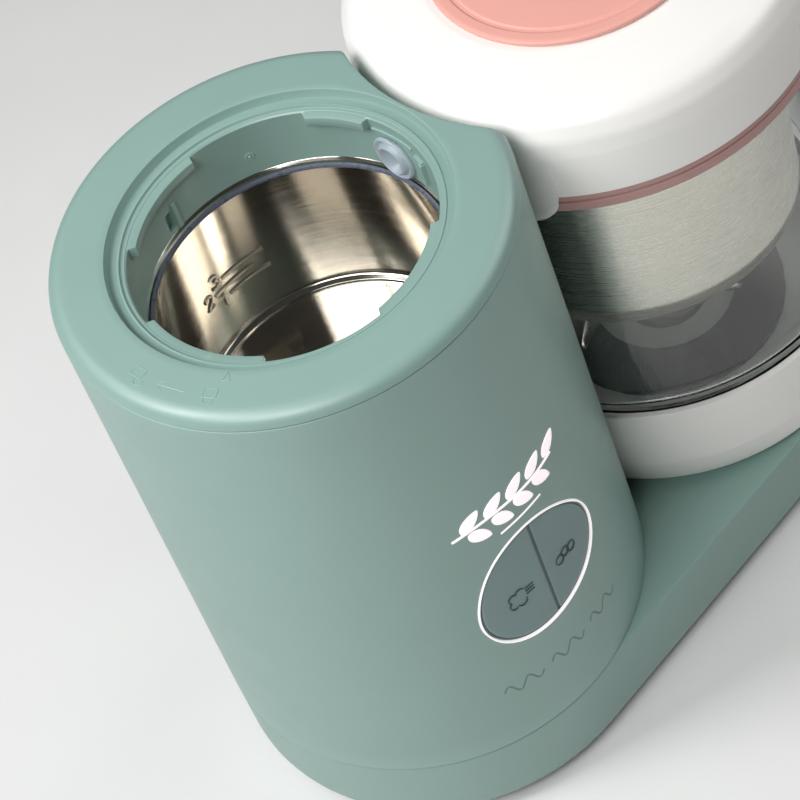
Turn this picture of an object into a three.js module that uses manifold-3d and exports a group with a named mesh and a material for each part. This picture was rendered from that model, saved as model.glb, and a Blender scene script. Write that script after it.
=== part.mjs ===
// Steam-and-blend baby food maker: a water tower with a boiler tank and a motor,
// a low base that carries a belt drive, and a lift-off glass bowl with basket, lid and cap.
// Millimetres, +Z up. The object stands on z = 0 and is centred on the origin.
// The water tower is at -X, the bowl at +X and the control keys face -Y.
import * as THREE from 'three';
import Module from 'manifold-3d';
import { mergeVertices } from 'three/addons/utils/BufferGeometryUtils.js';

const wasm = await Module();
wasm.setup();

// ---------------------------------------------------------------- driving dimensions
const ROUND = 32;                 // facets round every large circle
const FINE = 12;                  // facets round every small circle
const CURVE = 8;                  // facets along each curve of an outline
const GAP = 0.3;                  // clearance between pieces that touch

const AXES = 148.5;               // from the tower's axis to the bowl's axis
const BITE = 86;                  // radius of the hollow that the bowl stands in
const WALL = 2.6;                 // moulded wall thickness

const BASE = { bottom: 3, top: 38, tower: 84, bowl: 79.5, undercut: 4, edge: 0.9 };
const COVER = { bottom: 3.4, top: 5.6, inset: 6.4 };
const FOOT = { radius: 9, height: 3.1, peg: 2.6 };
const FEET = [[-52, 46], [-52, -46], [AXES + 42, 44], [AXES + 42, -44]];
const SCREWS = [[-66, 26], [-66, -26], [AXES + 62, 24], [AXES + 62, -24]];
const BOSS = { bore: 1.9, radius: 4, head: 3.8, headTop: 4.6 };
const CORD = { height: 17, hole: 5, seat: 7.6, seatDepth: 82.1, bore: 3.3 };

const TOWER = { low: 84, high: 81.2, parting: 244.2, top: 250, edge: 5.8 };
const MOUTH = { radius: 60.3, ledge: 246.4, throat: 54, lugs: 51.2, lugTop: 245.2, lugBottom: 241 };
const NECK = { inner: 56.5, outer: 59, bottom: 222.6 };
const LUGS = [[82, 128], [11, 36], [-97.5, -54], [-194, -142]];   // degrees round the mouth

const TANK = { inner: 53.2, rim: 58.4, top: 222.2, floor: 158.2, sheet: 1.1, step: 50 };
const PORT = { height: 230, radius: 4.6, bore: 1.7, flange: 7.4 };

const KEYS = { x: -2.7, height: 114.5, divider: -1.4 };           // centre of the key pad
const STEM = { radius: 3, spread: 12, end: 72.5 };                // the keys' push rods
const BEZEL = { rim: 1.7, proud: 0.8, depth: 8, divider: 1.2 };
const PEBBLE = { mean: 28.2, oval: 0.45, ovalAt: 9.6, corner: 1.36, cornerAt: -17.9 };

const INTERLOCK = { height: 60, pin: 2, hole: 2.4, collar: 3.4 };

const MOTOR = { core: 24.5, coreLow: 60, coreHigh: 97, shaft: 4, posts: 43, plate: 48 };
const POSTS = [60, 180, 300];                                     // bearings of the motor's posts
const PULLEY = { low: 12, high: 22, motor: 9, bowl: 27, belt: 1.6 };

const COLLAR = { low: 38.4, top: 85.2, radius: 83.5, floor: 49, hub: 18.5 };
const GLASS = { radius: 82.6, wall: 4.6, low: 55, floor: 62, rim: 210, round: 22, hole: 13 };
const HANDLE = { reach: 34, width: 24, low: 58, high: 203 };
const BASKET = { radius: 68, flange: 80.5, top: 211.3, low: 112, sheet: 0.9, round: 16 };
const BLADE = { reach: 46, level: 78, sheet: 1.6 };
const LID = { radius: 84.5, low: 213.3, side: 231, crown: 250.6, wall: 2.6, hole: 40 };
const APRON = { inner: 84.2, outer: 85.5, low: 201, from: 146 };  // skirt facing the tower
const CAP = { radius: 51, low: 250.9, top: 253, plug: 39.6 };

// ---------------------------------------------------------------- solids from three.js geometry
const rad = THREE.MathUtils.degToRad;

function solid(geometry) {
  // A closed solid from a three.js geometry, with its faces turned outwards.
  const bare = geometry.index ? geometry.toNonIndexed() : geometry.clone();
  bare.deleteAttribute('normal');
  bare.deleteAttribute('uv');
  const merged = mergeVertices(bare, 1e-4);
  const points = merged.attributes.position.array;
  const index = merged.index.array;
  const corner = (k) => new THREE.Vector3().fromArray(points, 3 * k);
  const kept = [];
  let volume = 0;
  for (let i = 0; i < index.length; i += 3) {
    const [a, b, c] = [index[i], index[i + 1], index[i + 2]];
    if (a === b || b === c || a === c) continue;
    kept.push(a, b, c);
    volume += corner(a).dot(corner(b).cross(corner(c)));
  }
  if (volume < 0) kept.reverse();
  const mesh = new wasm.Mesh({
    numProp: 3,
    vertProperties: new Float32Array(points),
    triVerts: new Uint32Array(kept),
  });
  mesh.merge();
  return new wasm.Manifold(mesh);
}

function lathe(profile, facets = ROUND) {
  // A solid of revolution about Z from [radius, height] pairs.
  const points = profile.map(([r, z]) => new THREE.Vector2(r, z));
  return solid(new THREE.LatheGeometry(points, facets).rotateX(Math.PI / 2));
}

function ring(inner, outer, low, high, facets = ROUND) {
  return lathe([[inner, low], [outer, low], [outer, high], [inner, high], [inner, low]], facets);
}

function rod(radius, low, high, facets = FINE) {
  return lathe([[0, low], [radius, low], [radius, high], [0, high]], facets);
}

function prism(shape, low, high, bevel = 0) {
  // An outline raised from low to high, with both edges rounded off inside the outline.
  const geometry = new THREE.ExtrudeGeometry(shape, {
    depth: high - low - 2 * bevel,
    bevelEnabled: bevel > 0,
    bevelThickness: bevel,
    bevelSize: bevel,
    bevelOffset: -bevel,
    bevelSegments: 1,
    curveSegments: CURVE,
  });
  return solid(geometry).translate([0, 0, low + bevel]);
}

function box(x0, x1, y0, y1, z0, z1) {
  const geometry = new THREE.BoxGeometry(x1 - x0, y1 - y0, z1 - z0);
  return solid(geometry).translate([(x0 + x1) / 2, (y0 + y1) / 2, (z0 + z1) / 2]);
}

function sector(from, to, reach, low, high) {
  // A wedge of a disc between two bearings in degrees.
  const shape = new THREE.Shape();
  shape.moveTo(0, 0);
  const steps = Math.ceil((to - from) / 6);
  for (let i = 0; i <= steps; i += 1) {
    const angle = rad(from + ((to - from) * i) / steps);
    shape.lineTo(reach * Math.cos(angle), reach * Math.sin(angle));
  }
  shape.closePath();
  return prism(shape, low, high);
}

function arc(cx, cy, radius, from, to, steps) {
  // Points along part of a circle, for a lathe profile; bearings in degrees.
  return Array.from({ length: steps + 1 }, (_, i) => {
    const angle = rad(from + ((to - from) * i) / steps);
    return [cx + radius * Math.cos(angle), cy + radius * Math.sin(angle)];
  });
}

function all(solids) {
  return solids.reduce((sum, next) => sum.add(next));
}

function alongX(piece) {
  return piece.rotate([0, 90, 0]);
}

function alongY(piece) {
  return piece.rotate([90, 0, 0]);
}

// ---------------------------------------------------------------- outlines
function planOutline(inset) {
  // The base seen from above: a circle under the tower, a smaller one under the bowl,
  // joined by straight tangents.
  const a = BASE.tower - inset;
  const b = BASE.bowl - inset;
  const tangent = Math.acos((a - b) / AXES);
  const shape = new THREE.Shape();
  shape.absarc(0, 0, a, tangent, Math.PI, false);
  shape.absarc(0, 0, a, Math.PI, 2 * Math.PI - tangent, false);
  shape.absarc(AXES, 0, b, -tangent, 0, false);
  shape.absarc(AXES, 0, b, 0, tangent, false);
  shape.closePath();
  return shape;
}

function pebbleRadius(angle) {
  const oval = PEBBLE.oval * Math.cos(2 * (angle - rad(PEBBLE.ovalAt)));
  const corner = PEBBLE.corner * Math.cos(3 * (angle - rad(PEBBLE.cornerAt)));
  return PEBBLE.mean + oval + corner;
}

function pebble(inset, from, to) {
  // The key pad's outline pushed through the tower's front wall, from y = from to y = to.
  const shape = new THREE.Shape();
  for (let i = 0; i < 32; i += 1) {
    const angle = (2 * Math.PI * i) / 32;
    const r = pebbleRadius(angle) - inset;
    shape[i ? 'lineTo' : 'moveTo'](r * Math.cos(angle), r * Math.sin(angle));
  }
  shape.closePath();
  return alongY(prism(shape, -to, -from)).translate([KEYS.x, 0, KEYS.height]);
}

function towerSkin(offset, low = BASE.top, high = TOWER.parting) {
  // The tower's tapered outside, moved out or in by offset.
  const slope = (TOWER.high - TOWER.low) / (TOWER.parting - BASE.top);
  const radiusAt = (z) => TOWER.low + slope * (z - BASE.top) + offset;
  return lathe([[0, low], [radiusAt(low), low], [radiusAt(high), high], [0, high]]);
}

function bite(radius, low, high) {
  return rod(radius, low, high, ROUND).translate([AXES, 0, 0]);
}

// ---------------------------------------------------------------- base
function baseHousing() {
  const lower = prism(planOutline(0), BASE.bottom, BASE.top - 8, BASE.undercut);
  const upper = prism(planOutline(0), BASE.bottom + BASE.undercut, BASE.top, BASE.edge);
  const hollow = prism(planOutline(WALL + BASE.undercut / 2), 0, BASE.top - WALL);
  const shaftWay = towerSkin(-6, BASE.top - 2 * WALL, BASE.top + 1);
  const towerWay = shaftWay.subtract(bite(BITE + 6, 0, 60));
  const boss = ring(BOSS.bore, BOSS.radius, COVER.top + GAP, BASE.top - 1, 8);
  const bosses = SCREWS.map(([x, y]) => boss.translate([x, y, 0]));
  const towerScrews = SCREWS.slice(0, 2);
  const ribs = towerScrews.map(([x, y]) => box(x - 11, x - 3, y - 1.2, y + 1.2, 8, BASE.top - 3));
  const hub = ring(8.4, 11.5, 25, BASE.top - 1, FINE).translate([AXES, 0, 0]);
  const shaftHole = rod(5, 20, 40).translate([AXES, 0, 0]);
  const cordHole = alongY(rod(CORD.hole, -90, -76)).translate([0, 0, CORD.height]);
  const cordSeat = alongY(rod(CORD.seat, -90, -CORD.seatDepth)).translate([0, 0, CORD.height]);
  const shell = lower.add(upper).subtract(hollow).subtract(towerWay);
  return all([shell, hub, ...bosses, ...ribs]).subtract(shaftHole).subtract(cordHole).subtract(cordSeat);
}

function baseCover() {
  const plate = prism(planOutline(COVER.inset), COVER.bottom, COVER.top);
  const pegHoles = FEET.map(([x, y]) => rod(FOOT.peg + 2 * GAP, 0, 9, 8).translate([x, y, 0]));
  const screwHoles = SCREWS.map(([x, y]) => rod(BOSS.bore, 0, 9, 8).translate([x, y, 0]));
  const heads = SCREWS.map(([x, y]) => rod(BOSS.head, 0, BOSS.headTop, 8).translate([x, y, 0]));
  const vents = [-20, -10, 0, 10, 20].map((x) => box(x - 1.8, x + 1.8, -22, 22, 0, 9));
  return plate.subtract(all([...pegHoles, ...screwHoles, ...heads, ...vents]));
}

function foot() {
  const pad = [[0, 0], [FOOT.radius - 1, 0], [FOOT.radius, 1], [FOOT.radius, FOOT.height]];
  const peg = [[FOOT.peg, FOOT.height], [FOOT.peg, COVER.top + 1.5], [0, COVER.top + 1.5]];
  return lathe([...pad, ...peg], 10);
}

function baseScrew() {
  return lathe([[0, 3.4], [3.2, 3.4], [3.2, 4.3], [1.6, 4.3], [1.6, 24], [0, 25]], 8);
}

function cordGland() {
  const { bore, hole, seat, height } = CORD;
  const sleeve = ring(bore, hole - GAP, 77, 83, FINE);
  const flange = ring(bore, seat - 0.4, 82.4, 83.6, FINE);
  return sleeve.add(flange).rotate([-90, 0, 0]).translate([0, 0, height]);
}

// ---------------------------------------------------------------- tower
function towerShell() {
  const low = BASE.top + GAP;
  const high = TOWER.parting - GAP;
  const outside = towerSkin(0, low, high).subtract(bite(BITE, 0, 300));
  const inside = towerSkin(-WALL, low - 1, high + 1).subtract(bite(BITE + WALL, 0, 300));
  const keyHole = pebble(-GAP, -100, -60);
  const portHole = alongX(rod(PORT.radius + GAP, 55, 70)).translate([0, 0, PORT.height]);
  const pinHole = alongX(rod(INTERLOCK.hole, 55, 70)).translate([0, 0, INTERLOCK.height]);
  return outside.subtract(inside).subtract(keyHole).subtract(portHole).subtract(pinHole);
}

function towerTop() {
  const flat = TOWER.top;
  const edge = arc(TOWER.high - TOWER.edge, flat - TOWER.edge, TOWER.edge, 0, 90, 4);
  const profile = [
    ...edge,
    [MOUTH.radius, flat],
    [MOUTH.radius - 0.4, MOUTH.ledge],
    [MOUTH.throat, MOUTH.ledge],
    [MOUTH.throat, 243.4],
    [NECK.inner, 241.6],
    [NECK.inner, NECK.bottom],
    [NECK.outer, NECK.bottom],
    [NECK.outer, 243.8],
    [62.4, 247.2],
    [TOWER.high - 4, 247.2],
    [TOWER.high - 2.4, flat - TOWER.edge],
    edge[0],
  ];
  const lug = ring(MOUTH.lugs, MOUTH.throat + 1, MOUTH.lugBottom, MOUTH.lugTop)
    .add(ring(MOUTH.throat - 0.5, NECK.inner + 1, MOUTH.lugBottom, 243));
  const lugs = LUGS.map(([from, to]) => lug.intersect(sector(from, to, 70, 230, 250)));
  const portHole = alongX(rod(PORT.radius + GAP, 40, 62)).translate([0, 0, PORT.height]);
  return all([lathe(profile), ...lugs]).subtract(bite(BITE, 0, 300)).subtract(portHole);
}

// ---------------------------------------------------------------- boiler
function boilerTank() {
  const { inner, rim, top, floor, sheet, step } = TANK;
  return lathe([
    [0, floor - sheet], [step, floor - sheet], [inner + sheet, floor + 3], [inner + sheet, top - 3.4],
    [inner + sheet + 0.6, top - 2.4], [rim, top - 2.4], [rim, top - 0.8], [inner + 2.2, top],
    [inner + 0.6, top - 0.6], [inner, top - 2], [inner, floor + 4], [step, floor + 1],
    [step - 3, floor], [0, floor],
  ]);
}

function tankSeal() {
  const { inner, top } = TANK;
  return lathe([
    [inner - 0.3, top - 2.8], [inner - 0.9, top - 2.5], [inner - 1.3, top - 4],
    [inner - 0.3, top - 5.6], [inner - 0.3, top - 2.8],
  ]);
}

function tankClamp() {
  const { inner, rim, sheet, top } = TANK;
  return ring(inner + sheet + 1.4, rim, top - 6, top - 2.4 - GAP);
}

function steamOutletSeal() {
  // A silicone grommet through the neck wall and the hollow's wall, with a vertical steam slit.
  const sleeve = rod(PORT.radius, 53, AXES - BITE - 0.2);
  const flange = rod(PORT.flange, 53, 56).add(rod(PORT.flange - 2, 51.6, 54));
  const slit = all([-2, 0, 2].map((x) => rod(PORT.bore, 40, 70, 8).translate([x, 0, 0])));
  const neck = ring(NECK.inner - 0.15, NECK.inner + 12, 200, 250);
  const body = alongX(sleeve.add(flange).subtract(slit)).translate([0, 0, PORT.height]);
  const root = alongX(rod(PORT.radius, 55, 62).subtract(slit)).translate([0, 0, PORT.height]);
  return body.subtract(neck).add(root);
}

function heaterPlate() {
  return rod(46, TANK.floor - 4.6, TANK.floor - TANK.sheet - GAP, ROUND);
}

function heatingElement() {
  // A tube bent into an open ring, with both ends turned down as terminals.
  const height = TANK.floor - 9.4;
  const turn = Array.from({ length: 23 }, (_, i) => {
    const angle = rad(20 + (320 * i) / 22);
    return new THREE.Vector3(36 * Math.cos(angle), 36 * Math.sin(angle), height);
  });
  const geometry = new THREE.ExtrudeGeometry(polygon(4, 8), {
    steps: 26,
    bevelEnabled: false,
    extrudePath: new THREE.CatmullRomCurve3(turn),
  });
  const ends = [20, 340].map((at) => {
    const [x, y] = [36 * Math.cos(rad(at)), 36 * Math.sin(rad(at))];
    return rod(3, height - 16, height + 2).translate([x, y, 0]);
  });
  return all([solid(geometry), ...ends]);
}

function polygon(radius, sides) {
  const shape = new THREE.Shape();
  for (let i = 0; i < sides; i += 1) {
    const angle = (2 * Math.PI * i) / sides;
    shape[i ? 'lineTo' : 'moveTo'](radius * Math.cos(angle), radius * Math.sin(angle));
  }
  shape.closePath();
  return shape;
}

function thermostat() {
  const top = TANK.floor - 4.6 - GAP;
  return rod(8, top - 7, top).add(box(-2, 2, -6, 6, top - 13, top - 6));
}

// ---------------------------------------------------------------- controls
function controlBezel() {
  const { rim: width, proud, depth } = BEZEL;
  const half = BEZEL.divider / 2;
  const skin = towerSkin(proud).subtract(towerSkin(-depth));
  const rim = pebble(0, -95, -60).subtract(pebble(width, -96, -59));
  const divider = box(KEYS.divider - half, KEYS.divider + half, -95, -60, 84, 145);
  const inside = pebble(0.5, -96, -59);
  const web = divider.intersect(inside).intersect(towerSkin(-2).subtract(towerSkin(-depth)));
  return rim.intersect(skin).add(web);
}

function key(side) {
  // Half of the pebble, on its own side of the divider, with a stem for its switch.
  const skin = towerSkin(0.4).subtract(towerSkin(-4));
  const slot = BEZEL.divider / 2 + GAP;
  const [from, to] = side < 0 ? [-60, KEYS.divider - slot] : [KEYS.divider + slot, 60];
  const half = box(from, to, -96, -59, 60, 170);
  const stemX = KEYS.x + side * STEM.spread;
  const stem = alongY(rod(STEM.radius, STEM.end, 79.5)).translate([stemX, 0, KEYS.height]);
  return pebble(BEZEL.rim + 0.4, -95, -60).intersect(skin).intersect(half).add(stem);
}

function controlBoard() {
  return box(KEYS.x - 24, KEYS.x + 24, -66, -64.4, 92, 140);
}

function keySwitch(side) {
  const x = KEYS.x + side * STEM.spread;
  const body = box(x - 3.5, x + 3.5, -69.4, -66.3, KEYS.height - 3.5, KEYS.height + 3.5);
  return body.add(alongY(rod(1.7, 69, 70.9)).translate([x, 0, KEYS.height]));
}

function interlockPin() {
  const { height, pin, collar } = INTERLOCK;
  const reach = AXES - COLLAR.radius - GAP;
  return alongX(rod(pin, 52.4, reach).add(rod(collar, 54, 56))).translate([0, 0, height]);
}

function interlockSwitch() {
  const { height } = INTERLOCK;
  return box(41, 52, -6, 6, height - 7, height + 7);
}

// ---------------------------------------------------------------- motor and belt drive
function motorStator() {
  const ears = POSTS.map((at) => box(34, MOTOR.plate - 0.5, -6, 6, 76, 81).rotate([0, 0, at]));
  const posts = POSTS.map((at) => rod(3.3, 70, 90, 8).translate(postAt(at)));
  const coreRing = ring(MOTOR.core + 1, 37, MOTOR.coreLow, MOTOR.coreHigh, 20);
  const bore = rod(MOTOR.core + 1, 70, 90, 20);
  return all([coreRing, ...ears]).subtract(bore).subtract(all(posts));
}

function postAt(bearing) {
  return [MOTOR.posts * Math.cos(rad(bearing)), MOTOR.posts * Math.sin(rad(bearing)), 0];
}

function motorFrameLower() {
  const plate = ring(10, MOTOR.plate, 50, 53, 20);
  const seat = ring(10, 13, 46, 51, FINE).add(ring(6, 11, 45, 46.8, FINE));
  const posts = POSTS.map((at) => rod(3, COVER.top + GAP, 100.1, 8).translate(postAt(at)));
  return all([plate, seat, ...posts]);
}

function motorFrameUpper() {
  const plate = ring(10, MOTOR.plate, 100.4, 103.4, 20);
  return plate.add(ring(10, 13, 102, 110, FINE)).add(ring(6, 11, 109, 111.4, FINE));
}

function bearing(low) {
  return ring(MOTOR.shaft + 0.4, 9.6, low, low + 5.4, FINE);
}

function motorRotor() {
  const windings = [[18, 55.5], [18, 60], [MOTOR.core, 60], [MOTOR.core, 97], [18, 97], [18, 99.4]];
  return lathe([
    [0, 9], [MOTOR.shaft, 9], [MOTOR.shaft, 55.5], ...windings,
    [MOTOR.shaft, 99.4], [MOTOR.shaft, 113], [9, 113], [9, 123], [MOTOR.shaft, 123],
    [MOTOR.shaft, 126], [0, 126],
  ], 16);
}

function motorFan() {
  const hub = ring(MOTOR.shaft + 0.3, 9, 33, 43, FINE);
  const plate = ring(MOTOR.shaft + 0.3, 29, 33, 34.6, 16);
  const vane = box(8, 28, -0.8, 0.8, 34, 42);
  const vanes = Array.from({ length: 8 }, (_, i) => vane.rotate([0, 0, 45 * i]));
  return all([hub, plate, ...vanes]);
}

function pulley(radius, belt) {
  // A wheel with two low flanges that keep the belt on.
  const { low, high } = PULLEY;
  const lip = radius + belt + 1;
  return lathe([
    [MOTOR.shaft + 0.3, low], [lip, low], [lip, low + 1.2], [radius, low + 1.6],
    [radius, high - 1.6], [lip, high - 1.2], [lip, high], [MOTOR.shaft + 0.3, high],
    [MOTOR.shaft + 0.3, low],
  ], 18);
}

function beltOutline(offset) {
  const a = PULLEY.motor + offset;
  const b = PULLEY.bowl + offset;
  const tangent = Math.acos((a - b) / AXES);
  const shape = new THREE.Shape();
  shape.absarc(0, 0, a, tangent, 2 * Math.PI - tangent, false);
  shape.absarc(AXES, 0, b, -tangent, tangent, false);
  shape.closePath();
  return shape;
}

function driveBelt() {
  const low = PULLEY.low + 2;
  const high = PULLEY.high - 2;
  const outside = prism(beltOutline(0.4 + PULLEY.belt), low, high);
  return outside.subtract(prism(beltOutline(0.4), low - 1, high + 1));
}

function lobed(radius, low, high) {
  // A six-lobed plug or socket for the drive coupling.
  const shape = new THREE.Shape();
  for (let i = 0; i < 24; i += 1) {
    const angle = (2 * Math.PI * i) / 24;
    const r = radius + 1.4 * Math.cos(6 * angle);
    shape[i ? 'lineTo' : 'moveTo'](r * Math.cos(angle), r * Math.sin(angle));
  }
  shape.closePath();
  return prism(shape, low, high);
}

function driveShaft() {
  return rod(MOTOR.shaft, 8, 38.2);
}

function driveCoupling() {
  return lobed(9.6, 38.6, 45.4).subtract(rod(2, 42, 48));
}

function driveBush() {
  return ring(MOTOR.shaft + 0.35, 8.1, 25, BASE.top - WALL - GAP, FINE);
}

// ---------------------------------------------------------------- bowl
function glassBowl() {
  const { radius, wall, low, floor, rim, round, hole } = GLASS;
  const foot = radius - 2.4;
  const inner = radius - wall;
  return lathe([
    [hole, low], ...arc(foot - round, low + round, round, 270, 360, 3),
    [foot, 86], [radius, 88.4], [radius, rim - 1], [radius - 1, rim], [inner + 0.6, rim],
    [inner, rim - 1], ...arc(inner - round, floor + round, round, 360, 270, 3), [hole, floor],
    [hole, low],
  ]);
}

function bowlCollar() {
  const { low, top, radius, floor, hub } = COLLAR;
  return lathe([
    [radius - 6.7, low], [radius - 3.9, low + 1.8], [radius - 2.1, low + 5.6],
    [radius - 0.9, low + 13.6], [radius - 0.2, low + 25.6], [radius, top], [radius - 2.8, top],
    [radius - 2.8, 61], [radius - 7, 54], [radius - 13, 52], [hub, 52], [hub, floor],
    [radius - 11.5, floor], [radius - 9, low], [radius - 6.7, low],
  ]);
}

function bowlGasket() {
  return ring(30, 50, 52.3, 54.7);
}

function bowlHandle() {
  // A closed loop that stands out from the collar and leans its top against the glass.
  const { reach, width, low, high } = HANDLE;
  const near = GLASS.radius - 6;
  const far = COLLAR.radius + reach;
  const outline = new THREE.Shape();
  outline.moveTo(near, low);
  outline.lineTo(far - 16, low);
  outline.quadraticCurveTo(far - 3, low, far - 2, low + 16);
  outline.lineTo(far, high - 22);
  outline.quadraticCurveTo(far - 1, high, far - 22, high);
  outline.lineTo(near, high);
  outline.closePath();
  const grip = new THREE.Shape();
  grip.moveTo(near + 5, 86);
  grip.lineTo(near + 5, high - 13);
  grip.lineTo(far - 26, high - 13);
  grip.quadraticCurveTo(far - 12, high - 13, far - 12, high - 28);
  grip.lineTo(far - 13, low + 34);
  grip.quadraticCurveTo(far - 14, low + 18, far - 26, low + 18);
  grip.lineTo(near + 5, low + 18);
  grip.closePath();
  const slab = prism(outline, -width / 2, width / 2, 3);
  const loop = slab.subtract(prism(grip, -width, width)).rotate([90, 0, 0]);
  return loop.subtract(rod(COLLAR.radius + GAP, 0, 300, ROUND));
}

function blade() {
  // Two wings swept down and two swept up from a washer round the hub.
  const washer = ring(11.3, 15.5, BLADE.level - 0.8, BLADE.level + 0.8, FINE);
  const wing = new THREE.Shape();
  wing.moveTo(0, -7);
  wing.quadraticCurveTo(18, -11, BLADE.reach - 13, 1);
  wing.quadraticCurveTo(20, 4, 0, 7);
  wing.closePath();
  const flat = prism(wing, -BLADE.sheet / 2, BLADE.sheet / 2);
  const bent = (tilt) => flat.rotate([0, tilt, 0]).translate([13, 0, BLADE.level]);
  const wings = [14, -20, 14, -20].map((tilt, i) => bent(tilt).rotate([0, 0, 90 * i]));
  return all([washer, ...wings]).subtract(rod(11.3, 60, 100));
}

function bladeHub() {
  return lathe([
    [4.4, 67], [11, 67], [11, 80], [9, 92], [6, 95.6], [0, 97], [0, 92.4], [4.4, 92.4], [4.4, 67],
  ], FINE);
}

function bladeShaft() {
  return rod(MOTOR.shaft, 47, 92);
}

function bladeBush() {
  const { low, floor, hole } = GLASS;
  const bore = MOTOR.shaft + 0.35;
  return lathe([
    [bore, low - 4], [hole - GAP, low - 4], [hole - GAP, floor + GAP], [17, floor + GAP],
    [17, floor + 2], [14, floor + 3.2], [bore, floor + 3.2], [bore, low - 4],
  ], FINE);
}

function bushNut() {
  return lobed(16, 52.3, 54.7).subtract(rod(GLASS.hole, 50, 60));
}

function bladeCoupling() {
  const cup = rod(15.4, 40, 50.4);
  return cup.subtract(lobed(10.2, 39, 46.4)).subtract(rod(MOTOR.shaft + 0.35, 45, 51));
}

// ---------------------------------------------------------------- basket
function steamBasket() {
  const { radius, flange, top, low, sheet, round } = BASKET;
  const foot = radius - 1.6;
  const inner = radius - sheet;
  const shell = lathe([
    [0, low], ...arc(foot - round, low + round, round, 270, 360, 3), [radius, top - 1],
    [flange, top - 1], [flange, top], [inner, top],
    ...arc(foot - sheet - round, low + sheet + round, round, 360, 270, 3), [0, low + sheet],
  ]);
  const rings = [[16, 6], [36, 12]];
  const holes = rings.flatMap(([at, count]) => Array.from({ length: count }, (_, i) => (
    rod(3.5, low - 2, low + 4, 6).translate([at, 0, 0]).rotate([0, 0, (360 * i) / count])
  )));
  return shell.subtract(all(holes));
}

// ---------------------------------------------------------------- lid and cap
function lidShell() {
  const { radius, low, side, crown, wall, hole } = LID;
  const outside = [
    [radius, low], [radius, side - 6], [radius - 3, side + 4.6], [radius - 10, side + 11.6],
    [radius - 18, side + 15.4], [CAP.radius + 1, crown], [hole, crown],
  ];
  const inside = [
    [hole, crown - wall], [CAP.radius, crown - wall - 1], [radius - 19, side + 12.6],
    [radius - 11.6, side + 9], [radius - wall - 3, side + 2], [radius - wall - 0.4, side - 7],
    [radius - wall - 0.4, low], [radius, low],
  ];
  const shell = lathe([...outside, ...inside]);
  const apron = ring(APRON.inner, APRON.outer, APRON.low, LID.low + 8);
  const facing = sector(APRON.from, 360 - APRON.from, 120, APRON.low - 1, 230);
  const inlet = alongX(rod(3.2, -90, -70)).translate([0, 0, PORT.height]);
  return shell.add(apron.intersect(facing)).subtract(inlet);
}

function lidSeal() {
  const outer = APRON.inner - 0.3;
  const inner = GLASS.radius + 0.35;
  return lathe([
    [inner, 205.5], [outer, 205.5], [outer, 213], [76, 213], [76, 211.7], [inner, 211.7],
    [inner, 205.5],
  ]);
}

function lidCap() {
  const { radius, low, top, plug } = CAP;
  return lathe([
    [plug - 2, 243], [plug, 243], [plug, low], [radius, low], [radius, top - 0.6],
    [radius - 0.6, top], [radius - 5.4, top], [radius - 6, top - 0.9], [0, top - 0.9],
    [0, low - 0.4], [plug - 2, low - 0.4], [plug - 2, 243],
  ]);
}

// ---------------------------------------------------------------- materials
function finish(color, roughness, metalness = 0) {
  return new THREE.MeshStandardMaterial({ color, roughness, metalness });
}

const EUCALYPTUS = finish(0x9bb9b0, 0.45);
const EUCALYPTUS_DARK = finish(0x748a87, 0.5);
const WHITE = finish(0xf4f3ef, 0.3);
const PINK = finish(0xecaca0, 0.45);
const PINK_SILICONE = finish(0xb88c8a, 0.6);
const CLEAR_SILICONE = finish(0xb6c4d2, 0.35);
const STEEL = finish(0xb9b4ac, 0.28, 1);
const GLASS_CLEAR = new THREE.MeshStandardMaterial({
  color: 0xcfd4d3, roughness: 0.05, transparent: true, opacity: 0.35,
});
const BLACK_RUBBER = finish(0x202224, 0.8);
const ALUMINIUM = finish(0xa8abad, 0.45, 1);
const BRONZE = finish(0x8c6a3c, 0.5, 1);
const BOARD_GREEN = finish(0x2d5a3a, 0.6);
const NYLON = finish(0xdedbd0, 0.55);

// ---------------------------------------------------------------- assembly
const model = new THREE.Group();
const tower = new THREE.Group();
const bowl = new THREE.Group();
bowl.position.x = AXES;
const reachLeft = BASE.tower;
const reachRight = AXES + COLLAR.radius + HANDLE.reach;
model.position.x = (reachLeft - reachRight) / 2;
model.add(tower, bowl);

function put(group, name, piece, material, at = [0, 0, 0]) {
  // A named mesh from a solid, set at a place in its group.
  const data = piece.getMesh();
  const geometry = new THREE.BufferGeometry();
  geometry.setAttribute('position', new THREE.BufferAttribute(data.vertProperties, 3));
  geometry.setIndex(new THREE.BufferAttribute(data.triVerts, 1));
  const mesh = new THREE.Mesh(geometry, material);
  mesh.name = name;
  mesh.position.set(...at);
  group.add(mesh);
}

put(tower, 'base_housing', baseHousing(), EUCALYPTUS);
put(tower, 'base_cover', baseCover(), EUCALYPTUS_DARK);
FEET.forEach(([x, y], i) => put(tower, `foot_${i + 1}`, foot(), BLACK_RUBBER, [x, y, 0]));
SCREWS.forEach(([x, y], i) => put(tower, `base_screw_${i + 1}`, baseScrew(), STEEL, [x, y, 0]));
put(tower, 'cord_gland', cordGland(), BLACK_RUBBER);

put(tower, 'tower_shell', towerShell(), EUCALYPTUS);
put(tower, 'tower_top', towerTop(), EUCALYPTUS);
put(tower, 'boiler_tank', boilerTank(), STEEL);
put(tower, 'tank_seal', tankSeal(), CLEAR_SILICONE);
put(tower, 'tank_clamp', tankClamp(), NYLON);
put(tower, 'steam_outlet_seal', steamOutletSeal(), CLEAR_SILICONE);
put(tower, 'heater_plate', heaterPlate(), ALUMINIUM);
put(tower, 'heating_element', heatingElement(), STEEL);
put(tower, 'thermostat_1', thermostat(), ALUMINIUM, [-12, 0, 0]);
put(tower, 'thermostat_2', thermostat(), ALUMINIUM, [12, 0, 0]);

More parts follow.
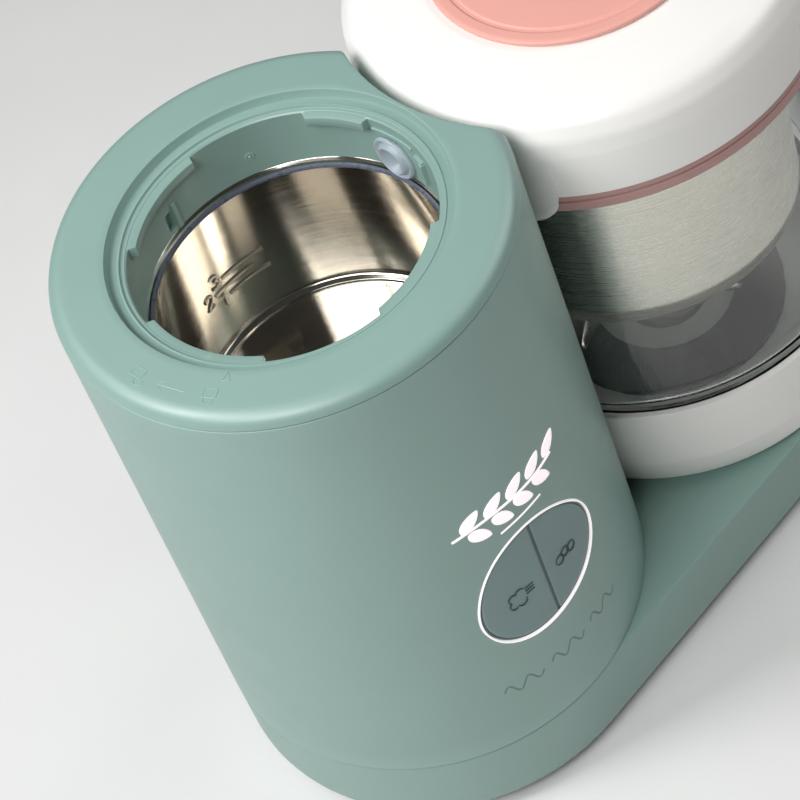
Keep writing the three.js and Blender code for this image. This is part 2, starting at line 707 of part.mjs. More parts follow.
put(tower, 'control_bezel', controlBezel(), WHITE);
put(tower, 'steam_key', key(-1), EUCALYPTUS_DARK);
put(tower, 'blend_key', key(1), EUCALYPTUS_DARK);
put(tower, 'control_board', controlBoard(), BOARD_GREEN);
put(tower, 'steam_switch', keySwitch(-1), BLACK_RUBBER);
put(tower, 'blend_switch', keySwitch(1), BLACK_RUBBER);
put(tower, 'interlock_pin', interlockPin(), NYLON);
put(tower, 'interlock_switch', interlockSwitch(), BLACK_RUBBER);

put(tower, 'motor_stator', motorStator(), STEEL);
put(tower, 'motor_frame_lower', motorFrameLower(), ALUMINIUM);
put(tower, 'motor_frame_upper', motorFrameUpper(), ALUMINIUM);
put(tower, 'motor_bearing_lower', bearing(47.2), STEEL);
put(tower, 'motor_bearing_upper', bearing(103.3), STEEL);
put(tower, 'motor_rotor', motorRotor(), STEEL);
put(tower, 'motor_fan', motorFan(), NYLON);
put(tower, 'motor_pulley', pulley(PULLEY.motor, PULLEY.belt), NYLON);
put(tower, 'drive_belt', driveBelt(), BLACK_RUBBER);

put(bowl, 'driven_pulley', pulley(PULLEY.bowl, PULLEY.belt), NYLON);
put(bowl, 'drive_shaft', driveShaft(), STEEL);
put(bowl, 'drive_bush', driveBush(), BRONZE);
put(bowl, 'drive_coupling', driveCoupling(), NYLON);

put(bowl, 'bowl_collar', bowlCollar(), WHITE);
put(bowl, 'bowl_gasket', bowlGasket(), PINK_SILICONE);
put(bowl, 'glass_bowl', glassBowl(), GLASS_CLEAR);
put(bowl, 'bowl_handle', bowlHandle(), WHITE);
put(bowl, 'blade_bush', bladeBush(), BRONZE);
put(bowl, 'bush_nut', bushNut(), NYLON);
put(bowl, 'blade_coupling', bladeCoupling(), NYLON);
put(bowl, 'blade_shaft', bladeShaft(), STEEL);
put(bowl, 'blade_hub', bladeHub(), WHITE);
put(bowl, 'blade', blade(), STEEL);
put(bowl, 'steam_basket', steamBasket(), STEEL);
put(bowl, 'lid_seal', lidSeal(), PINK_SILICONE);
put(bowl, 'lid_shell', lidShell(), WHITE);
put(bowl, 'lid_cap', lidCap(), PINK);

export default model;
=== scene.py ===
import math
import bmesh
import bpy
from mathutils import Matrix, Vector


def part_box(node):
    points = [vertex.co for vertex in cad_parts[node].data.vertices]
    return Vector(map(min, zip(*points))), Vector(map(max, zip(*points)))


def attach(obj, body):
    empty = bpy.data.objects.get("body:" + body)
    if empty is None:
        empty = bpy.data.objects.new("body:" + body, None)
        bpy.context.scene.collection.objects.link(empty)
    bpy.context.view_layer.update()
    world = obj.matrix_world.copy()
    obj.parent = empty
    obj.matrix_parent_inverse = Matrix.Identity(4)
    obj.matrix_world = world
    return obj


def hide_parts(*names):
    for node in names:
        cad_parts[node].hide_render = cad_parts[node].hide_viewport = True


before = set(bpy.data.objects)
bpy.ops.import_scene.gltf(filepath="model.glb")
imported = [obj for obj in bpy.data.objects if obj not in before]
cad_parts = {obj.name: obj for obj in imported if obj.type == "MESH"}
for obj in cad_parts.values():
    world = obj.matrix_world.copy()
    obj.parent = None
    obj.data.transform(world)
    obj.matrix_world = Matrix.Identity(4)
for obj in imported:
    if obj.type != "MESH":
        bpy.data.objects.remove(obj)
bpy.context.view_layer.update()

# ------------------------ places and sizes, in metres
MM = 0.001


def middle(node):
    low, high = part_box(node)
    return (Vector(low) + Vector(high)) / 2


TOWER = middle("motor_bearing_upper")  # the tower's axis
BOWL = middle("glass_bowl")           # the bowl's axis
AXES = BOWL.x - TOWER.x
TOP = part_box("tower_top")[1][2]       # the tower's flat top
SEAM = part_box("base_housing")[1][2]   # the base's top, which the tower stands on
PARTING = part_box("tower_shell")[1][2]  # the line between the tower and its cover
LOW_RADIUS = (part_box("tower_shell")[1][1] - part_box("tower_shell")[0][1]) / 2
HIGH_RADIUS = (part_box("tower_top")[1][1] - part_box("tower_top")[0][1]) / 2
BITE = 86 * MM                        # radius of the hollow that the bowl stands in
MOUTH = 60.3 * MM                     # radius of the tank's mouth
THROAT = 54 * MM                      # inner edge of the ledge in the mouth
LEDGE = 246.4 * MM                    # height of the ledge that the tank's cap sits on
LUG = 51.2 * MM                       # inner edge of the four bayonet lugs
LUGS = ((82, 128), (11, 36), (262.5, 306), (166, 218))  # bearings at which they start and end
TANK_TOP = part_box("boiler_tank")[1][2]
TANK_RADIUS = 53.2 * MM               # inside of the tank's wall
TANK_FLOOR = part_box("boiler_tank")[0][2] + 1.1 * MM
KEYS = Vector((TOWER.x - 2.7 * MM, 0, 114.5 * MM))  # centre of the key pad
DIVIDER = -1.4 * MM                   # the line between the keys, from the tower's axis
KEY_DEPTH = 6 * MM                    # how deep the ring and the web round the keys go
PORT = 230 * MM                       # height of the steam outlet
BASE_END = 79.5 * MM                  # radius of the base under the bowl
BLADE_HEIGHT = 78 * MM
COLLAR_RADIUS = 83.8 * MM             # where the handle meets the bowl's collar
LIGHT_DISTANCE = 1.2


# ------------------------ mesh tools
def new_object(name, verts, faces):
    """A closed mesh in the scene, with its faces turned outwards."""
    mesh = bpy.data.meshes.new(name)
    mesh.from_pydata([tuple(v) for v in verts], [], faces)
    mesh.validate()
    obj = bpy.data.objects.new(name, mesh)
    bpy.context.scene.collection.objects.link(obj)
    bm = bmesh.new()
    bm.from_mesh(mesh)
    bmesh.ops.recalc_face_normals(bm, faces=bm.faces)
    bm.to_mesh(mesh)
    bm.free()
    return obj


def piece(name, verts, faces, material, body, replaces=(), sharp=32):
    """A mesh object that rides on a body and stands for CAD nodes."""
    obj = new_object(name, verts, faces)
    obj.data.materials.append(material)
    smooth(obj, sharp)
    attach(obj, body)
    if replaces:
        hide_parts(*replaces)
    return obj


def smooth(obj, sharp):
    """Smooth shading, with a sharp edge where faces meet at more than an angle in degrees."""
    mesh = obj.data
    mesh.polygons.foreach_set("use_smooth", [True] * len(mesh.polygons))
    mesh.set_sharp_from_angle(angle=math.radians(sharp))


def signed_power(value, power):
    """A power that keeps the sign, for squarer or rounder ovals."""
    return math.copysign(abs(value) ** power, value)


def outward(angle):
    """The level direction at a bearing in radians."""
    return Vector((math.cos(angle), math.sin(angle), 0))


def circle(count):
    """Bearings all the way round, in radians."""
    return [2 * math.pi * k / count for k in range(count)]


def quarter(steps):
    """Sine and cosine through a quarter turn, for rounded edges."""
    turns = [math.pi / 2 * k / steps for k in range(steps + 1)]
    return [(math.sin(turn), math.cos(turn)) for turn in turns]


def rounded(points, steps=5):
    """A profile whose corners are rounded: each point is (radius, height) or (radius, height, fillet)."""
    out = []
    count = len(points)
    for i, point in enumerate(points):
        here = Vector(point[:2])
        if len(point) < 3 or i == 0 or i == count - 1:
            out.append(here)
            continue
        back = Vector(points[i - 1][:2]) - here
        ahead = Vector(points[i + 1][:2]) - here
        turn = back.angle(ahead)
        reach = point[2] / math.tan(turn / 2)
        reach = min(reach, back.length * 0.48, ahead.length * 0.48)
        start = here + back.normalized() * reach
        end = here + ahead.normalized() * reach
        for k in range(steps + 1):
            t = k / steps
            out.append(start * (1 - t) ** 2 + here * 2 * t * (1 - t) + end * t ** 2)
    return out


def loft(loops, closed=False, caps=(False, False)):
    """Faces between rings of equally many points. Closed joins the last ring to the first."""
    count = len(loops[0])
    verts = [v for loop in loops for v in loop]
    faces = []
    pairs = [(i, i + 1) for i in range(len(loops) - 1)]
    if closed:
        pairs.append((len(loops) - 1, 0))
    for a, b in pairs:
        for k in range(count):
            n = (k + 1) % count
            faces.append((a * count + k, a * count + n, b * count + n, b * count + k))
    if caps[0]:
        faces.append(tuple(reversed(range(count))))
    if caps[1]:
        faces.append(tuple((len(loops) - 1) * count + k for k in range(count)))
    return verts, faces


def distinct(line, near=1e-6):
    """A line without repeated points, its end not on its start."""
    out = []
    for p in line:
        if not out or (p - out[-1]).length > near:
            out.append(p)
    if len(out) > 2 and (out[0] - out[-1]).length < near:
        out.pop()
    return out


def turned(profile, centre, segments=160, steps=5):
    """A turned solid about a vertical axis: the profile closes on itself, or on the axis."""
    line = distinct(rounded(profile, steps))
    on_axis = line[0].x < 1e-7
    loops = []
    for p in line:
        radius = max(p.x, 1e-6)
        loops.append([Vector((centre.x + radius * math.cos(angle), centre.y + radius * math.sin(angle), p.y))
                      for angle in circle(segments)])
    return loft(loops, closed=not on_axis, caps=(on_axis, on_axis))


def turned_piece(name, profile, centre, material, body, replaces, segments, steps=5):
    """A turned piece from a profile in millimetres."""
    verts, faces = turned([tuple(x * MM for x in p) for p in profile], centre, segments, steps)
    return piece(name, verts, faces, material, body, replaces)


def join(parts):
    """One list of vertices and faces from several."""
    verts, faces = [], []
    for v, f in parts:
        base = len(verts)
        verts.extend(v)
        faces.extend([tuple(base + i for i in face) for face in f])
    return verts, faces


def stroke(points, normals, width, height, power=1.0):
    """A raised line that follows points on a surface: oval in section, or squarer with a lower power."""
    count = len(points)
    loops = []
    for i, p in enumerate(points):
        before = points[max(i - 1, 0)]
        after = points[min(i + 1, count - 1)]
        along = (after - before).normalized()
        side = along.cross(normals[i]).normalized()
        loops.append([p + side * width / 2 * signed_power(math.cos(angle), power)
                      + normals[i] * height * signed_power(math.sin(angle), power) for angle in circle(14)])
    return loft(loops, caps=(True, True))


def plate(outline, place, height):
    """A raised flat shape: an outline of (u, v) put on a surface by place(u, v, height)."""
    count = len(outline)
    cu = sum(p[0] for p in outline) / count
    cv = sum(p[1] for p in outline) / count
    rings = []
    for grow, lift in ((1.0, -0.3), (1.0, 0.6), (0.93, 0.95), (0.84, 1.0), (0.5, 1.0), (0.1, 1.0)):
        rings.append([place(cu + (u - cu) * grow, cv + (v - cv) * grow, height * lift) for u, v in outline])
    return loft(rings, caps=(True, True))


def cut(obj, verts, faces, sharp=32):
    """Cuts a solid out of a piece, and drops it."""
    tool = new_object("cutter", verts, faces)
    step = obj.modifiers.new("cut", "BOOLEAN")
    step.operation = "DIFFERENCE"
    step.solver = "EXACT"
    step.object = tool
    graph = bpy.context.evaluated_depsgraph_get()
    result = bpy.data.meshes.new_from_object(obj.evaluated_get(graph))
    obj.modifiers.clear()
    obj.data = result
    bpy.data.objects.remove(tool)
    smooth(obj, sharp)


# ------------------------ surfaces of the tower
def tower_radius(z):
    """The tower's radius at a height."""
    share = (z - SEAM) / (PARTING - SEAM)
    return LOW_RADIUS + (HIGH_RADIUS - LOW_RADIUS) * share


def bite_distance(angle, radius):
    """How far the bowl's hollow is from the tower's axis along a bearing."""
    reach = radius ** 2 - (AXES * math.sin(angle)) ** 2
    if reach <= 0 or math.cos(angle) <= 0:
        return 1.0
    return AXES * math.cos(angle) - math.sqrt(reach)


def softer(a, b, blend):
    """The smaller of two values, with a soft change from one to the other."""
    share = max(blend - abs(a - b), 0) / blend
    return min(a, b) - share * share * blend / 4


def tower_angles():
    """Bearings round the tower, closer together at the hollow's corners."""
    angles = [math.radians(0.75 * k) for k in range(480)]
    for corner in (28.1, 331.9):
        angles += [math.radians(corner - 1.6 + 0.1 * k + 0.05) for k in range(32)]
    return sorted(set(angles))


ANGLES = tower_angles()


def circle_ring(z, radius_at):
    """A ring round the tower's axis, its radius given for each bearing."""
    ring = []
    for angle in ANGLES:
        r = radius_at(angle)
        ring.append(Vector((TOWER.x + r * math.cos(angle), r * math.sin(angle), z)))
    return ring


def tower_ring(z, inset, bite_inset, blend=1.6 * MM):
    """The tower's outline at a height, set in from the wall and from the bowl's hollow."""
    outer = tower_radius(min(z, PARTING)) - inset
    return circle_ring(z, lambda angle: softer(outer, bite_distance(angle, BITE + bite_inset), blend))


def on_tower(across, z, lift=0.0):
    """A point on the tower's front, by its distance round from the middle of the front."""
    radius = tower_radius(z)
    return Vector((TOWER.x, 0, z)) + outward(-math.pi / 2 + across / radius) * (radius + lift)


def tower_normal(across, z):
    """Which way the tower's front faces there; its wall leans back a little."""
    out = outward(-math.pi / 2 + across / tower_radius(z))
    return (out + Vector((0, 0, 0.0145))).normalized()


# ------------------------ materials
def start_material(name):
    """A new material, its node tree and its shader node."""
    material = bpy.data.materials.new(name)
    material.use_nodes = True
    tree = material.node_tree
    return material, tree, tree.nodes["Principled BSDF"]


def link(tree, source, output, target, socket):
    tree.links.new(source.outputs[output], target.inputs[socket])


def noise(tree, scale, detail=3.0, vector=None):
    """A noise texture, in the object's own coordinates unless a vector is given."""
    node = tree.nodes.new("ShaderNodeTexNoise")
    node.inputs["Scale"].default_value = scale
    node.inputs["Detail"].default_value = detail
    if vector is None:
        vector = tree.nodes.new("ShaderNodeTexCoord").outputs["Object"]
    tree.links.new(vector, node.inputs["Vector"])
    return node


def spread(tree, source, output, low, high, from_low=0.3, from_high=0.7):
    """Maps a texture's range to low..high."""
    node = tree.nodes.new("ShaderNodeMapRange")
    node.inputs["From Min"].default_value = from_low
    node.inputs["From Max"].default_value = from_high
    node.inputs["To Min"].default_value = low
    node.inputs["To Max"].default_value = high
    link(tree, source, output, node, "Value")
    return node


def uneven_sheen(tree, bsdf, texture, low, high):
    """Roughness that changes from low to high with a texture."""
    link(tree, spread(tree, texture, "Fac", low, high), "Result", bsdf, "Roughness")


def bumped(tree, bsdf, texture, strength, distance):
    height = tree.nodes.new("ShaderNodeBump")
    height.inputs["Strength"].default_value = strength
    height.inputs["Distance"].default_value = distance
    link(tree, texture, "Fac", height, "Height")
    link(tree, height, "Normal", bsdf, "Normal")


def math_node(tree, kind, operation, source, output, value=None):
    """A Math or VectorMath node whose first input is linked and whose second is a value."""
    node = tree.nodes.new(kind)
    node.operation = operation
    if value is not None:
        node.inputs[1].default_value = value
    link(tree, source, output, node, 0)
    return node


def tinted(tree, bsdf, color, scale, amount):
    """Slow, faint changes of colour over the surface, and paler edges."""
    wave = noise(tree, scale, 2.0)
    ramp = tree.nodes.new("ShaderNodeValToRGB")
    ramp.color_ramp.elements[0].position = 0.3
    ramp.color_ramp.elements[1].position = 0.7
    ramp.color_ramp.elements[0].color = [c * (1 - amount) for c in color] + [1]
    ramp.color_ramp.elements[1].color = [min(c * (1 + amount), 1) for c in color] + [1]
    link(tree, wave, "Fac", ramp, "Fac")
    shape = tree.nodes.new("ShaderNodeNewGeometry")
    edge = spread(tree, shape, "Pointiness", 0.0, 0.35, 0.52, 0.62)
    mix = tree.nodes.new("ShaderNodeMix")
    mix.data_type = "RGBA"
    mix.inputs["B"].default_value = [min(c * 1.25 + 0.02, 1) for c in color] + [1]
    link(tree, edge, "Result", mix, "Factor")
    link(tree, ramp, "Color", mix, "A")
    link(tree, mix, "Result", bsdf, "Base Color")


def moulded(name, color, rough=0.42, grain=900.0, bump=0.05, coat=0.0, gloss_level=0.5, painted_glow=0.0):
    """Moulded plastic: faint grain, uneven sheen, paler edges, and, if asked for, a painted glow: emission in
    the plastic's own colour, though the part is no lamp.
    """
    material, tree, bsdf = start_material(name)
    tinted(tree, bsdf, color, 14.0, 0.025)
    uneven_sheen(tree, bsdf, noise(tree, 60.0, 2.0), rough - 0.02, rough + 0.025)
    bumped(tree, bsdf, noise(tree, grain, 2.0), bump, 0.0002)
    bsdf.inputs["Coat Weight"].default_value = coat
    bsdf.inputs["Coat Roughness"].default_value = 0.12
    bsdf.inputs["Specular IOR Level"].default_value = gloss_level
    # painted glow: the part gives off light in its own colour to look brighter, though it is no lamp
    if painted_glow:
        bsdf.inputs["Emission Color"].default_value = (*color, 1)
        bsdf.inputs["Emission Strength"].default_value = painted_glow
    return material


def brushed_round(tree, place):
    """Coordinates that hardly change round the axis, so that noise becomes lines round it."""
    split = tree.nodes.new("ShaderNodeSeparateXYZ")
    link(tree, place, "Vector", split, "Vector")
    flat = math_node(tree, "ShaderNodeVectorMath", "MULTIPLY", place, "Vector", (1, 1, 0))
    length = math_node(tree, "ShaderNodeVectorMath", "LENGTH", flat, "Vector")
    turn = math_node(tree, "ShaderNodeMath", "ARCTAN2", split, "Y")
    link(tree, split, "X", turn, 1)
    slow = math_node(tree, "ShaderNodeMath", "MULTIPLY", turn, "Value", 0.0015)
    lines = tree.nodes.new("ShaderNodeCombineXYZ")
    link(tree, length, "Value", lines, "X")
    link(tree, slow, "Value", lines, "Y")
    link(tree, split, "Z", lines, "Z")
    return lines.outputs["Vector"]


def metal(name, color, rough, bump, anisotropic, centre=None):
    """Metal with fine brush lines: round a vertical axis at centre, or upright without one."""
    material, tree, bsdf = start_material(name)
    bsdf.inputs["Metallic"].default_value = 1.0
    tinted(tree, bsdf, color, 22.0, 0.05)
    coord = tree.nodes.new("ShaderNodeTexCoord")
    if centre:
        axis = (centre.x, centre.y, 0)
        place = math_node(tree, "ShaderNodeVectorMath", "SUBTRACT", coord, "Object", axis)
        vector = brushed_round(tree, place)
    else:
        stretch = math_node(tree, "ShaderNodeVectorMath", "MULTIPLY", coord, "Object", (1, 1, 0.03))
        vector = stretch.outputs["Vector"]
    brushed = noise(tree, 1400.0, 3.0, vector)
    uneven_sheen(tree, bsdf, brushed, rough * 0.8, rough * 1.25)
    bumped(tree, bsdf, brushed, bump, 0.0001)
    bsdf.inputs["Anisotropic"].default_value = anisotropic
    tangent = tree.nodes.new("ShaderNodeTangent")
    tangent.direction_type = "RADIAL"
    tangent.axis = "Z"
    link(tree, tangent, "Tangent", bsdf, "Tangent")
    bsdf.inputs["Anisotropic Rotation"].default_value = 0.25 if centre else 0.0
    return material


def silicone(name, color, clear, rough=0.35):
    """Soft silicone: light passes into it, and its skin is a little uneven."""
    material, tree, bsdf = start_material(name)
    tinted(tree, bsdf, color, 40.0, 0.04)
    bsdf.inputs["Subsurface Weight"].default_value = 0.4 * (1 - clear)
    bsdf.inputs["Subsurface Radius"].default_value = (0.006, 0.004, 0.004)
    bsdf.inputs["Transmission Weight"].default_value = clear
    bsdf.inputs["IOR"].default_value = 1.41
    skin = noise(tree, 300.0, 3.0)
    uneven_sheen(tree, bsdf, skin, rough - 0.06, rough + 0.08)
    bumped(tree, bsdf, skin, 0.04, 0.0003)
    return material


def clear_glass(name):
    """Pressed glass: slightly grey, with a faintly wavy surface."""
    material, tree, bsdf = start_material(name)
    tinted(tree, bsdf, (0.93, 0.955, 0.945), 8.0, 0.01)
    bsdf.inputs["Transmission Weight"].default_value = 1.0
    bsdf.inputs["IOR"].default_value = 1.47
    waves = noise(tree, 24.0, 2.0)
    uneven_sheen(tree, bsdf, waves, 0.0, 0.03)
    bumped(tree, bsdf, waves, 0.05, 0.0006)
    return material


BODY = moulded("eucalyptus_plastic", (0.234, 0.365, 0.330), 0.42, gloss_level=0.85)
# dark grey-green plastic: the base's own cover, and the painted shade in the gaps between and round the keys
DARK_PLASTIC_AND_GAP_SHADE = moulded("grey_green_plastic_and_gap_shade", (0.10, 0.15, 0.14), 0.5)
# a darker body colour that paints the shade in a pressed-in groove
PAINTED_GROOVE_SHADE = moulded("debossed_mark_painted_shade", (0.13, 0.22, 0.20), 0.5)
KEY_PAD = moulded("key_plastic", (0.185, 0.275, 0.275), 0.38, 700.0, 0.03)
KEY_MARK = moulded("key_mark", (0.035, 0.06, 0.06), 0.45)
# the bezel and the motif have a painted glow: emission that brightens them though they are no lamps
BEZEL = moulded("bezel_plastic", (0.90, 0.86, 0.87), 0.2, coat=0.4, painted_glow=0.5)
MOTIF = moulded("motif_plastic", (0.94, 0.84, 0.87), 0.3, painted_glow=0.55)
WHITE = moulded("white_plastic", (0.86, 0.85, 0.82), 0.3, 600.0, 0.02)
PINK = moulded("salmon_plastic", (0.77, 0.38, 0.32), 0.42, 800.0, 0.04)
PINK_SOFT = silicone("pink_silicone", (0.52, 0.31, 0.29), 0.12, 0.4)
CLEAR_SOFT = silicone("clear_silicone", (0.66, 0.74, 0.82), 0.55)
SMOKY_SOFT = silicone("smoky_silicone", (0.12, 0.14, 0.19), 0.12, 0.3)
MARK_STEEL = metal("embossed_steel", (0.66, 0.61, 0.53), 0.36, 0.02, 0.2, TOWER)
TANK_STEEL = metal("tank_steel", (0.60, 0.565, 0.505), 0.13, 0.008, 0.8, TOWER)
BASKET_STEEL = metal("basket_steel", (0.88, 0.82, 0.73), 0.27, 0.006, 0.5, BOWL)
BLADE_STEEL = metal("blade_steel", (0.62, 0.62, 0.62), 0.22, 0.05, 0.4, BOWL)
INNER_STEEL = metal("machined_steel", (0.5, 0.5, 0.5), 0.32, 0.08, 0.4, TOWER)
CAST = metal("cast_aluminium", (0.56, 0.57, 0.58), 0.5, 0.2, 0.0)
BRONZE = metal("sintered_bronze", (0.5, 0.34, 0.16), 0.42, 0.08, 0.2, BOWL)
GLASS = clear_glass("pressed_glass")
RUBBER = moulded("black_rubber", (0.025, 0.025, 0.027), 0.7, 500.0, 0.12)
BLACK = moulded("black_plastic", (0.03, 0.03, 0.034), 0.4)
BOARD = moulded("board_green", (0.03, 0.15, 0.06), 0.35)
NYLON = moulded("natural_nylon", (0.66, 0.64, 0.55), 0.5)


# ------------------------ base
def base_outline(inset, count=72):
    """The base seen from above: two circles joined by straight tangents."""
    a = LOW_RADIUS - inset
    b = BASE_END - inset
    tangent = math.acos((a - b) / AXES)

    def arc(x, radius, start, sweep):
        angles = [start + sweep * k / count for k in range(count + 1)]
        return [(x + radius * math.cos(angle), radius * math.sin(angle)) for angle in angles]

    start = a * math.cos(tangent)
    end = AXES + b * math.cos(tangent)
    straight = []
    for k in range(1, 8):
        share = k / 8
        across = a * math.sin(tangent) - (a - b) * math.sin(tangent) * share
        straight.append((TOWER.x + start + (end - start) * share, across))
    points = arc(TOWER.x, a, tangent, 2 * math.pi - 2 * tangent)
    points += [(x, -y) for x, y in straight]
    points += arc(BOWL.x, b, -tangent, 2 * tangent)
    return points + straight[::-1]


def base_ring(z, inset):
    return [Vector((x, y, z)) for x, y in base_outline(inset)]


def build_base():
    low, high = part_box("base_housing")
    side = [(4.6, 0.0), (4.2, 0.05), (3.0, 0.9), (1.7, 2.2), (0.7, 4.0), (0.15, 6.2), (0.0, 8.4)]
    rings = [base_ring(high[2] - 2.6 * MM, 4.6 * MM), base_ring(low[2] + 0.4 * MM, 4.6 * MM)]
    rings += [base_ring(low[2] + up * MM, inset * MM) for inset, up in side]
    rings += [base_ring(low[2] + (8.4 + 25 * k / 8) * MM, 0) for k in range(1, 8)]
    edge = 1.1 * MM
    rings += [base_ring(high[2] - edge + edge * up, edge * (1 - out)) for up, out in quarter(6)]
    piece("base_shell", *loft(rings, caps=(True, True)), BODY, "root", ("base_housing",))


def build_feet():
    profile = [(0, 0), (7.6, 0, 0.5), (9, 1.1, 0.8), (9, 3.1, 0.3), (3.4, 3.1, 0.3), (2.6, 3.6, 0.3),
               (2.6, 7.0, 0.4), (0, 7.0)]
    for number in (1, 2, 3, 4):
        node = "foot_%d" % number
        turned_piece(node + "_pad", profile, middle(node), RUBBER, "root", (node,), 48)


# ------------------------ tower
def build_tower_shell():
    edge = 0.5 * MM
    wall = 2.6 * MM
    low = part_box("tower_shell")[0][2]
    rings = []
    for up, out in quarter(4):
        left = edge * (1 - up)
        rings.append(tower_ring(low + left, left, left))
    rings += [tower_ring(low + (PARTING - low) * k / 24, 0, 0) for k in range(1, 24)]
    for up, out in quarter(4):
        left = edge * (1 - out)
        rings.append(tower_ring(PARTING - edge + edge * up, left, left))
    rings += [tower_ring(z, wall, wall, 1.0 * MM) for z in (PARTING, low)]
    shell = piece("tower_wall", *loft(rings, closed=True), BODY, "root", ("tower_shell",))
    cut(shell, *pebble_prism(-0.25 * MM, -100 * MM, -60 * MM))


def lug_share(angle, soft=0.6):
    """1 inside a bayonet lug, 0 between lugs, with short ramps."""
    degrees = math.degrees(angle) % 360
    best = 0.0
    for start, end in LUGS:
        inside = min(degrees - start, end - degrees)
        best = max(best, min(max(inside / soft + 0.5, 0.0), 1.0))
    return best


def build_tower_top():
    edge = 5.8 * MM
    small = 0.9 * MM
    foot = TOP - edge
    flat = 0.5 * MM
    rings = [tower_ring(foot + 0.3 * MM, 0.35 * MM, 0.3 * MM)]
    for up, out in quarter(10):
        rings.append(tower_ring(foot + flat + (edge - flat) * up, edge * (1 - out), small * (1 - out)))
    outer = tower_ring(TOP, edge, small)
    inner = circle_ring(TOP, lambda angle: MOUTH + 0.6 * MM)
    rings += [[a.lerp(b, share) for a, b in zip(outer, inner)] for share in (0.15, 0.35, 0.6, 0.85)]

    def ring(z, radius, extra):
        return circle_ring(z, lambda angle: radius + extra * MM)

    def lug_ring(z, extra):
        """A ring on the throat between the lugs and on their inner edge."""
        return circle_ring(z, lambda angle: THROAT + (LUG + extra * MM - THROAT) * lug_share(angle))

    for down, extra in ((0, 0.5), (0.15, 0.15), (0.5, 0)):
        rings.append(ring(TOP - down * MM, MOUTH, extra))
    for up, extra in ((0.4, -0.35), (0.1, -0.5), (0, -0.9)):
        rings.append(ring(LEDGE + up * MM, MOUTH, extra))
    for up, extra in ((0, 2.9), (0.35, 2.7), (0.45, 2.4), (0.35, 2.1), (-0.45, 1.8), (-0.6, 1.5), (-0.6, 0.9),
                      (-0.65, 0.5), (-0.9, 0.3)):
        rings.append(ring(LEDGE + up * MM, THROAT, extra))
    for down, extra in ((1.2, 0.5), (1.35, 0.15), (1.7, 0), (5.0, 0), (5.4, 0.2), (5.5, 0.6)):
        rings.append(lug_ring(LEDGE - down * MM, extra))
    for down in (5.6, 6.4, 15):
        rings.append(ring(LEDGE - down * MM, THROAT, 0))
    for up, extra in ((0.3, 0), (0.05, 0.3), (0.05, 2.3)):
        rings.append(ring(TANK_TOP + up * MM, THROAT, extra))
    rings += [ring(foot - 0.4 * MM, THROAT, 2.3), ring(foot, THROAT, 2.6)]
    rings.append(tower_ring(foot + 0.3 * MM, 1.6 * MM, 1.2 * MM))
    cover = piece("tower_cover", *loft(rings, closed=True), BODY, "root", ("tower_top",), 38)
    cut(cover, *wedge(98.2, 101.6, 52.5, 56.0, 224.6, 232.4), 38)


def wedge(start, end, inner, outer, low, high):
    """A block between two bearings and two radii of the tower's mouth, in degrees and millimetres."""
    soft = 0.25
    section = ((outer, low), (inner + soft, low), (inner, low + soft), (inner, high - soft),
               (inner + soft, high), (outer, high))
    base = Vector((TOWER.x, 0, 0))
    steps = max(2, int(abs(end - start)))
    rings = []
    for k in range(steps + 1):
        out = outward(math.radians(start + (end - start) * k / steps)) * MM
        rings.append([base + out * r + Vector((0, 0, z * MM)) for r, z in section])
    return loft(rings, caps=(True, True))


def build_neck_details():
    """A rib, a bracket and a strip on the wall of the neck, and a sprue mark."""
    rib = wedge(95.4, 97.2, 53.0, 56, 223.0, 234.5)
    bracket = [wedge(-18.6, -16.4, 52.4, 56, 229, 238.8), wedge(-18.2, -12.6, 52.8, 56, 238.2, 239.6)]
    strip = wedge(-11, 9.5, 53.4, 56, 240.4, 241.4)
    piece("neck_ribs", *join([rib] + bracket + [strip]), BODY, "root")
    out = outward(math.radians(61))
    spot = Vector((TOWER.x, 0, 231 * MM)) + out * (THROAT - 0.05 * MM)
    side = Vector((-out.y, out.x, 0))
    up = Vector((0, 0, 1))
    rings = []
    steps = ((1.9, -0.4), (1.9, 0.1), (1.5, 0.22), (1.1, 0.1), (0.6, 0.12), (0.3, 0.5), (0.02, 0.55))
    for radius, depth in steps:
        rings.append([spot + (side * math.cos(t) + up * math.sin(t)) * radius * MM - out * depth * MM
                      for t in circle(24)])
    piece("sprue_mark", *loft(rings, caps=(True, True)), BODY, "root")


def build_tank():
    t = TANK_TOP / MM
    f = TANK_FLOOR / MM
    profile = [
        (0, f - 1.1), (50, f - 1.1, 3), (54.3, f + 3, 3), (54.3, t - 3.4, 0.6), (55, t - 2.4, 0.4),
        (58.2, t - 2.4, 0.4), (58.2, t - 0.9, 0.5), (56.4, t - 0.1, 0.8), (54.6, t - 0.3, 0.7),
        (53.8, t - 1.4, 0.8), (53.3, t - 2.4, 0.4), (53.2, t - 3.4, 0.4), (53.2, f + 1.9, 1.8),
        (50.7, f + 0.9, 0.4), (50.3, f, 0.3), (0, f),
    ]
    turned_piece("tank", profile, TOWER, TANK_STEEL, "root", ("boiler_tank",), 256, 8)


def build_tank_seal():
    t = TANK_TOP / MM
    profile = [(53.4, t - 2.1, 0.2), (52.7, t - 2.3, 0.3), (52.3, t - 3.1, 0.4), (52.5, t - 3.9, 0.3),
               (53.1, t - 4.2, 0.2), (53.4, t - 2.1)]
    turned_piece("tank_lip", profile, TOWER, SMOKY_SOFT, "root", ("tank_seal",), 200, 6)


def grommet_ring(x, tall, wide):
    """An upright oval round the steam outlet's axis; its inner end leans to one side."""
    lean = 1.6 * MM * min(max((55.2 - x) / 2, 0), 1)
    tall *= MM
    wide *= MM
    return [Vector((TOWER.x + x * MM, wide * math.cos(angle) + lean, PORT + tall * math.sin(angle)))
            for angle in circle(64)]


